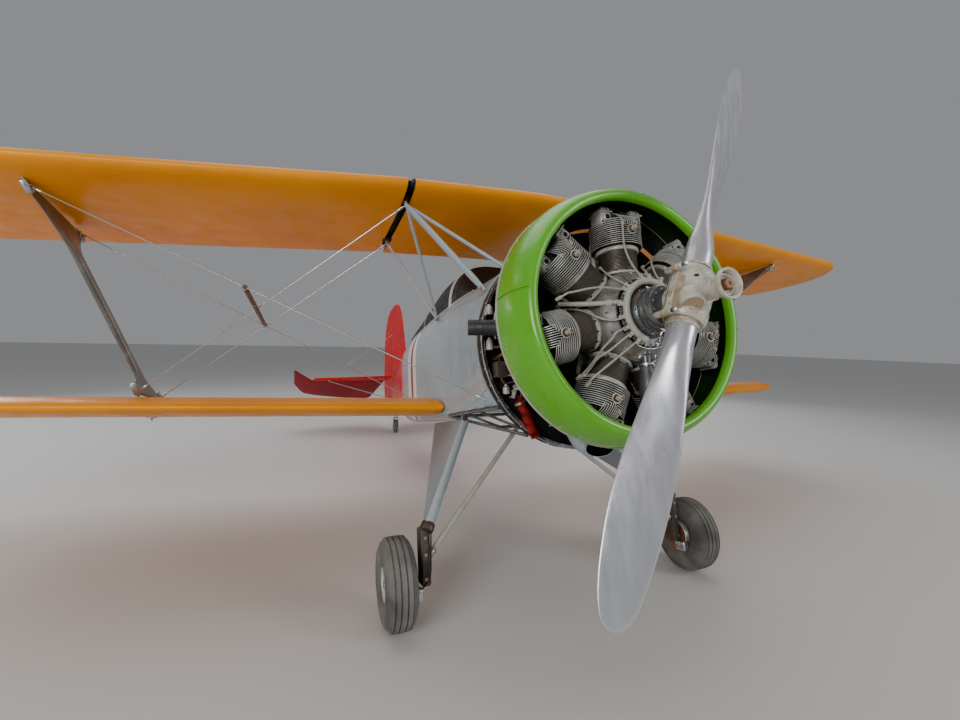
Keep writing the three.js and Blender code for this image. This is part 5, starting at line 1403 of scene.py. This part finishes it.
def build_cabane(name, side):
    s = Shape()
    front, inner, rear, head, back = (on_side(p, side) for p in (FRONT_FOOT, INNER_FOOT, REAR_FOOT,
                                                                 FRONT_HEAD, REAR_HEAD))
    for a, b, chord, thick in ((front, head, 50, 32), (inner, head, 26, 20), (rear, head, 30, 20),
                               (rear, back, 28, 18)):
        faired(s, [(a.lerp(b, t), chord * k, thick * k) for t, k in TUBE_TAPER], 20)
        s.bolt(b + Vector((side * -4, -chord * 0.2, -6)), (-side, 0, 0), 6, 14, 1)
        foot = a + (b - a).normalized() * 16
        s.lathe([(0, -12), (14, -12), (16, -6), (16, 6), (14, 12), (0, 12)], facing(foot, AFTWARD), 16, 1)
    for spot in (head, back):
        s.lathe([(0, -10), (14, -10), (15, 0), (15, 60), (12, 66), (0, 66)], facing(spot, UP), 18, 1)
        s.tube([spot + Vector((x, 0, PIN_Z - spot.z)) for x in (-38, 38)], 9, 12, 1)
    s.piece(f"cabane_{name}_detail", "silver steel", "silver_paint", replaces=[f"cabane_{name}"])


def build_struts():
    for name, side in SIDES.items():
        build_interplane_strut(name, side)
        build_cabane(name, side)
        build_wires(name, side)


def build_wires(name, side):
    def place(x, y, z):
        return on_side((x, y, z), side)
    tx, ty, _ = STRUT["top"]
    bx, by, _ = STRUT["bottom"]
    front_fly = (place(470, 664, -330), place(tx - 3, ty + 30, 866))
    rear_fly = (place(447, 2201, -226), place(tx - 3, ty + STRUT["top_spars"] - 30, 866))
    front_land = (place(*FRONT_HEAD), place(bx, by + 14, -122))
    rear_land = (place(*REAR_HEAD), place(bx, by + STRUT["bottom_spars"] - 14, -122))
    front = cross_point(*front_fly, *front_land)
    rear = cross_point(*rear_fly, *rear_land)
    wires = Shape()
    for a, b in (front_fly, rear_fly):
        wires.tube([a, b], WIRE, 10)
        clevis(wires, a.lerp(b, 0.004), b - a, 1)
        clevis(wires, a.lerp(b, 0.993), a - b, 1)
    for (a, b), end in ((front_land, front), (rear_land, rear)):
        y = a.lerp(b, (end.x - a.x) / (b.x - a.x)).y
        tie = front.lerp(rear, (y - front.y) / (rear.y - front.y))
        wires.tube([a, tie, b], WIRE, 10)
        clevis(wires, a.lerp(tie, 0.02), tie - a, 1)
        clevis(wires, b.lerp(tie, 0.015), tie - b, 1)
    wires.piece(f"bracing_wires_{name}", "wire bright", "steel", replaces=[f"bracing_{name}"])
    along = (rear - front).normalized()
    start, end = front - along * 14, rear + along * 14
    shares, radii = (0, 0.01, 0.1, 0.5, 0.9, 0.99, 1), [8, 12, 13, 14, 13, 12, 8]
    stick = Shape().tube([start.lerp(end, t) for t in shares], radii, 14)
    for t in (0.02, 0.36, 0.95):
        stick.lathe(hoop(12, 15.5, -7, 7), facing(start.lerp(end, t), along), 16, 1, loop=True)
    stick.piece(f"spreader_{name}", "wood steel", "steel")


# Landing gear
WHEEL = {"track": 1878, "y": 854, "z": -1206, "radius": 221, "half": 76, "rim": 84}
GROOVES = (42, 15)
WHEEL_CASTING = [(17, -92), (88, -92), (90, -90), (90, -87), (88, -85), (42, -85), (42, -60), (56, -44),
                 (80, -42), (84, -60), (87, -62), (90, -60), (90, -56), (84, -50), (84, 50), (90, 56),
                 (90, 60), (87, 62), (80, 56), (76, 40), (72, 22), (48, 16), (42, 22), (41, 46), (36, 51),
                 (0, 53), (0, 42), (17, 40)]
# Flat fairing's stations: share from the fuselage to the knee, chord, thickness
FAIRING = ((0, 740, 16), (0.02, 734, 22), (0.5, 430, 27), (0.97, 138, 30), (1, 126, 24))
BRAKE_LINE = ((822, 790, -1236), (786, 770, -1180), (778, 770, -1060), (772, 776, -970))


def tyre_profile():
    radius, half, rim = WHEEL["radius"], WHEEL["half"], WHEEL["rim"]
    side = [(rim, half - 16), (rim + 6, half - 12), (rim + 14, half - 6), (rim + 40, half),
            (rim + 70, half + 0.5), (rim + 96, half - 3), (radius - 22, half - 13),
            (radius - 10, half - 27)]
    tread = []
    for groove in GROOVES:
        tread += [(radius - (2.5 if groove > 20 else 0.6), groove + 4), (radius - 8, groove + 3),
                  (radius - 8, groove - 3), (radius - (1.6 if groove > 20 else 0), groove - 4)]
    half_profile = side + tread
    return half_profile + [(r, -y) for r, y in reversed(half_profile)]


def build_wheel(name, side):
    axis = facing((WHEEL["track"] / 2 * side, WHEEL["y"], WHEEL["z"]), (side, 0, 0))
    body = f"main_wheel_{name}"
    Shape().lathe(tyre_profile(), axis, 96, loop=True).piece(f"tyre_{name}_detail", "rubber", "tyre", body,
                                                             [f"tyre_{name}"])
    hub = Shape().lathe(WHEEL_CASTING, axis, 64, loop=True)
    hub.lathe(hoop(46, 88, -91, -93.5), axis, 64, 1, loop=True)
    for i in range(6):
        turn = i / 6 * TURN
        hub.bolt(axis @ Vector((math.cos(turn) * 60, math.sin(turn) * 60, 19)), (side, 0, 0), 6, 8, 2)
        hole = Matrix.Translation((math.cos(turn + 0.5) * 62, math.sin(turn + 0.5) * 62, 0))
        hub.lathe(disc(9, 12, 18), axis @ hole, 14, 3)
    hub.lathe([(0, 52), (22, 52), (24, 56), (20, 62), (0, 64)], axis, 24, 2)
    hub.piece(f"wheel_hub_{name}_detail", "white_metal copper steel dark", "wheel_metal", body,
              [f"wheel_hub_{name}"])


def build_leg(name, side):
    def place(x, y, z):
        return on_side((x, y, z), side)
    top, knee = place(418, 1500, -412), place(785, 815, -955)
    front_top, front_knee = place(432, 1139, -424), place(785, 782, -955)
    leg = faired(Shape(), [(top.lerp(knee, t), chord, thick) for t, chord, thick in FAIRING], 32, 1)
    leg.tube([front_top, front_knee], 24, 20)
    leg.lathe([(0, -14), (28, -14), (30, -6), (30, 22), (26, 28), (0, 28)],
              facing(front_knee, front_top - front_knee), 20, 2)
    leg.tube([place(446, 1120, -440), place(418, 1150, -364)], 14, 14, 2)
    leg.block((44, 60, 26), facing(place(416, 1152, -384), UP), 5, 2)
    leg.bolt(place(447, 1140, -400), (side, 0, 0), 9, 10, 4)
    leg.block((50, 90, 276), facing(place(800, 826, -1230), UP), 12, 2)
    leg.tube([place(800, 826, -960), place(792, 800, -930)], 20, 16, 2)
    # Brake caliper and its line
    leg.block((46, 74, 60), facing(place(846, 800, -1290), UP), 8, 3)
    for y in (782, 818):
        leg.bolt(place(822, y, -1262), (-side, 0, 0), 6, 12, 4)
    leg.tube([place(*point) for point in BRAKE_LINE], 4, 8, 5, steps=6)
    leg.tube([place(x, WHEEL["y"], WHEEL["z"]) for x in (800, 971)], 16, 20, 2)
    for z in (-1195, -1080, -1000):
        leg.bolt(place(800, 781, z), FORWARD, 6, 7, 4)
    leg.piece(f"gear_leg_{name}_detail", "silver fairing rusty bright steel black", "silver_paint",
              replaces=[f"gear_leg_{name}"])


def build_gear():
    for name, side in SIDES.items():
        build_wheel(name, side)
        build_leg(name, side)
    brace = Shape()
    for side in (-1, 1):
        start, end = on_side((770, 812, -1083), side), on_side((16, 1103, -388), side)
        brace.tube([start, end], 14, 18)
        brace.lathe([(0, -10), (18, -10), (20, 0), (20, 26), (16, 32), (0, 32)], facing(start, end - start),
                    18, 1)
    brace.block((72, 62, 42), facing((0, 1103, -403), UP), 6, 1)
    brace.bolt((0, 1071, -384), FORWARD, 9, 9, 2)
    brace.piece("gear_brace_tubes", "cream steel bright", "silver_paint", replaces=["gear_brace"])


# Tail
TAIL = {"hinge_y": 5630, "z": 372, "root_x": 95, "root_lead": 5190, "tip_x": 1160, "tip_lead": 5400,
        "pin_x": 960, "pin_y": 5500}
RUDDER_Y = 5585
FIN = [[4430, 330], [4560, 470], [4672, 650], [4745, 920], [4835, 1190], [4930, 1330], [5060, 1425],
       [5230, 1462]]
RUDDER = [[5860, -70], [6120, -20], [6280, 80], [6345, 230], [6335, 430], [6285, 700], [6215, 950],
          [6130, 1150], [6030, 1290], [5900, 1400], [5760, 1450], [5680, 1465]]
# Elevator: distance out at the leading and trailing edge, and how far they lie ahead of and behind the hinge
ELEVATOR = [[130, 290, 0, 430], [180, 308, 0, 458], [260, 350, 0, 475], [450, 480, 0, 466],
            [700, 700, 0, 450], [930, 930, 0, 410], [1150, 1150, 0, 360], [1188, 1188, 0, 346],
            [1196, 1196, 6, 343], [1300, 1300, 115, 300], [1350, 1350, 166, 230], [1400, 1400, 220, 128],
            [1428, 1428, 248, 64]]
DROOP = math.radians(30)
SURFACE = {"nose": 13, "plate": 12, "tail": 2, "gap": 7}
STABILISER_STATIONS, END_THINNING = 24, 0.75
HINGE_HEIGHTS = (100, 620, 1180)
TAIL_WHEEL = {"z": -344.4, "y": 5492, "radius": 100, "half": 24, "trail": 55}
# Spring leaves: how far each starts behind the first, and how far under it
LEAVES = ((0, 0), (60, 7), (130, 14))
LEAF = [(-25, -3), (-22, -4), (22, -4), (25, -3), (25, 3), (22, 4), (-22, 4), (-25, 3)]


def build_tail_half(name, side):
    t = TAIL
    nose, plate, tail = SURFACE["nose"], SURFACE["plate"], SURFACE["tail"]
    trail = t["hinge_y"] - nose - SURFACE["gap"]
    stations = []
    for i in range(STABILISER_STATIONS + 1):
        share = i / STABILISER_STATIONS
        x = t["root_x"] + (t["tip_x"] - t["root_x"]) * share
        lead = t["root_lead"] + (t["tip_lead"] - t["root_lead"]) * share
        edge = END_THINNING if i == STABILISER_STATIONS else 1
        stations.append((on_side((x, lead, t["z"]), side), on_side((x, trail, t["z"]), side),
                         (plate - 0.8 * math.sin(i * math.pi / 4) ** 2) * edge, nose * edge))
    surface(stations, (side, 0, 0)).piece(f"stabiliser_{name}_skin", "red", "red_paint",
                                          replaces=[f"stabiliser_{name}"])

    def behind(x, distance):
        return on_side((x, t["hinge_y"] + math.cos(DROOP) * distance, t["z"] - math.sin(DROOP) * distance),
                       side)
    # The elevators take the darker red: painted shade on their undersides
    stations = [(behind(lead_x, -ahead), behind(trail_x, chord),
                 nose * (END_THINNING if i in (0, len(ELEVATOR) - 1) else 1), tail)
                for i, (lead_x, trail_x, ahead, chord) in enumerate(ELEVATOR)]
    surface(stations, (side, 0, 0)).piece(f"elevator_{name}_skin", "shaded_elevator_red", "red_paint", "elevators",
                                          [f"elevator_{name}"])
    wires = Shape()
    pin = on_side((t["pin_x"], t["pin_y"], t["z"]), side)
    wires.tube([pin + Vector((0, 0, -26)), pin + Vector((0, 0, 26))], 8, 12, 1)
    wires.tube([pin + Vector((0, 0, 24)), on_side((16, 5441, 1048), side)], TAIL_WIRE, 8)
    clevis(wires, pin + Vector((0, 0, 24)), on_side((0, 5440, 1055), side) - pin, 1)
    faired(wires, [(pin + Vector((0, 0, -24)), 18, 12), (on_side((48, 5238, 26), side), 24, 14)], 14, 2)
    for k in (-1, 1):
        wires.lathe([(0, 0), (16, 0), (14, 4), (0, 5)], facing(pin + Vector((0, 0, k * 12)), (0, 0, k)), 16,
                    1)
    wires.piece(f"tail_bracing_{name}_detail", "wire steel silver", "steel",
                replaces=[f"tail_bracing_{name}"])


def build_tail():
    for name, side in SIDES.items():
        build_tail_half(name, side)
    nose, plate, tail = SURFACE["nose"], SURFACE["plate"], SURFACE["tail"]
    trail = RUDDER_Y - nose - SURFACE["gap"]
    stations = [((0, lead, height), (0, trail, height), plate, nose) for lead, height in smoothed(FIN, 5)]
    surface(stations, UP).piece("fin_skin", "red", "red_paint", replaces=["fin"])
    stations = [((0, RUDDER_Y, height), (0, end, height), nose, tail) for end, height in smoothed(RUDDER, 4)]
    surface(stations, UP).piece("rudder_skin", "red", "red_paint", "rudder", ["rudder"])
    hinges = Shape()
    for height in HINGE_HEIGHTS:
        hinges.lathe(disc(7, -22, 22), facing((0, RUDDER_Y - 18, height), UP), 12)
    hinges.piece("rudder_hinges", "steel", "steel")


def build_tail_wheel():
    y, z, radius, half = (TAIL_WHEEL[key] for key in ("y", "z", "radius", "half"))
    swivel, crown = y - TAIL_WHEEL["trail"], z + radius + 16
    spring = Shape()
    for start, drop in LEAVES:
        path = smoothed([[5060 + start, -72 - drop], [5200, -90 - drop], [5330, -135 - drop],
                         [swivel - 10, crown + 60 - drop * 0.4]], 6)
        spring.rings([[(x, py, pz + up) for x, up in LEAF] for py, pz in path])
    spring.lathe([(9.5, 0), (24, 0), (27, 4), (27, 52), (24, 56), (9.5, 56)],
                 facing((0, swivel, crown + 22), UP), 28, loop=True)
    for py, pz in ((5200, -96), (5330, -141)):
        spring.block((60, 22, 26), facing((0, py, pz - 13), UP), 4)
    spring.piece("tail_spring_leaves", "steel", "steel", replaces=["tail_spring"])
    fork = Shape()
    fork.lathe([(0, 0), (28, 0), (30, 3), (30, 12), (26, 15), (0, 15)], facing((0, swivel, crown + 2), UP),
               28)
    fork.tube([(0, swivel, crown + 8), (0, swivel, crown + 70)], 8, 14)
    fork.block((74, 88, 12), facing((0, swivel + 14, crown - 2), UP), 4)
    for x in (-33.5, 33.5):
        faired(fork, [((x, swivel + 14, crown + 4), 84, 8), ((x, swivel + 30, crown - 40), 56, 8),
                      ((x, y, z), 40, 8), ((x, y + 4, z - 8), 20, 6)], 20)
        fork.bolt((math.copysign(36.5, x), y, z), (math.copysign(1, x), 0, 0), 9, 8)
    fork.tube([(-33.5, y, z), (33.5, y, z)], 8, 14)
    fork.piece("tail_fork_detail", "steel", "steel", "tail_swivel", ["tail_fork"])
    edge = [(52, half), (60, half + 0.5), (84, half), (93, 19), (98, 11), (radius, 4)]
    inner = [(9, 20), (46, 20), (50, 18)]
    profile = [(r, -x) for r, x in inner + edge] + (inner + edge)[::-1]
    axle = facing((0, y, z), LEFT)
    wheel = Shape().lathe(profile, axle, 56, loop=True)
    wheel.lathe(hoop(9, 44, -21, 21), axle, 40, 1, loop=True)
    wheel.piece("tail_wheel_detail", "rubber steel", "tyre", "tail_roller", ["tail_wheel"])


def main():
    make_finishes()
    make_camera()
    make_stage()
    build_wings()
    build_fuselage()
    build_canopy()
    build_cowl()
    build_cylinders()
    build_crankcase()
    build_accessories()
    build_ignition()
    build_mount()
    build_exhaust()
    build_intake()
    build_duct()
    build_bay()
    build_firewall_edge()
    build_belly()
    build_propeller()
    build_struts()
    build_gear()
    build_tail()
    build_tail_wheel()
    # The firewall takes the near-black finish: painted shade behind the engine
    firewall = frame["nodes"]["firewall"]
    for slot in firewall.material_slots:
        slot.material = paints["dark"].material


main()
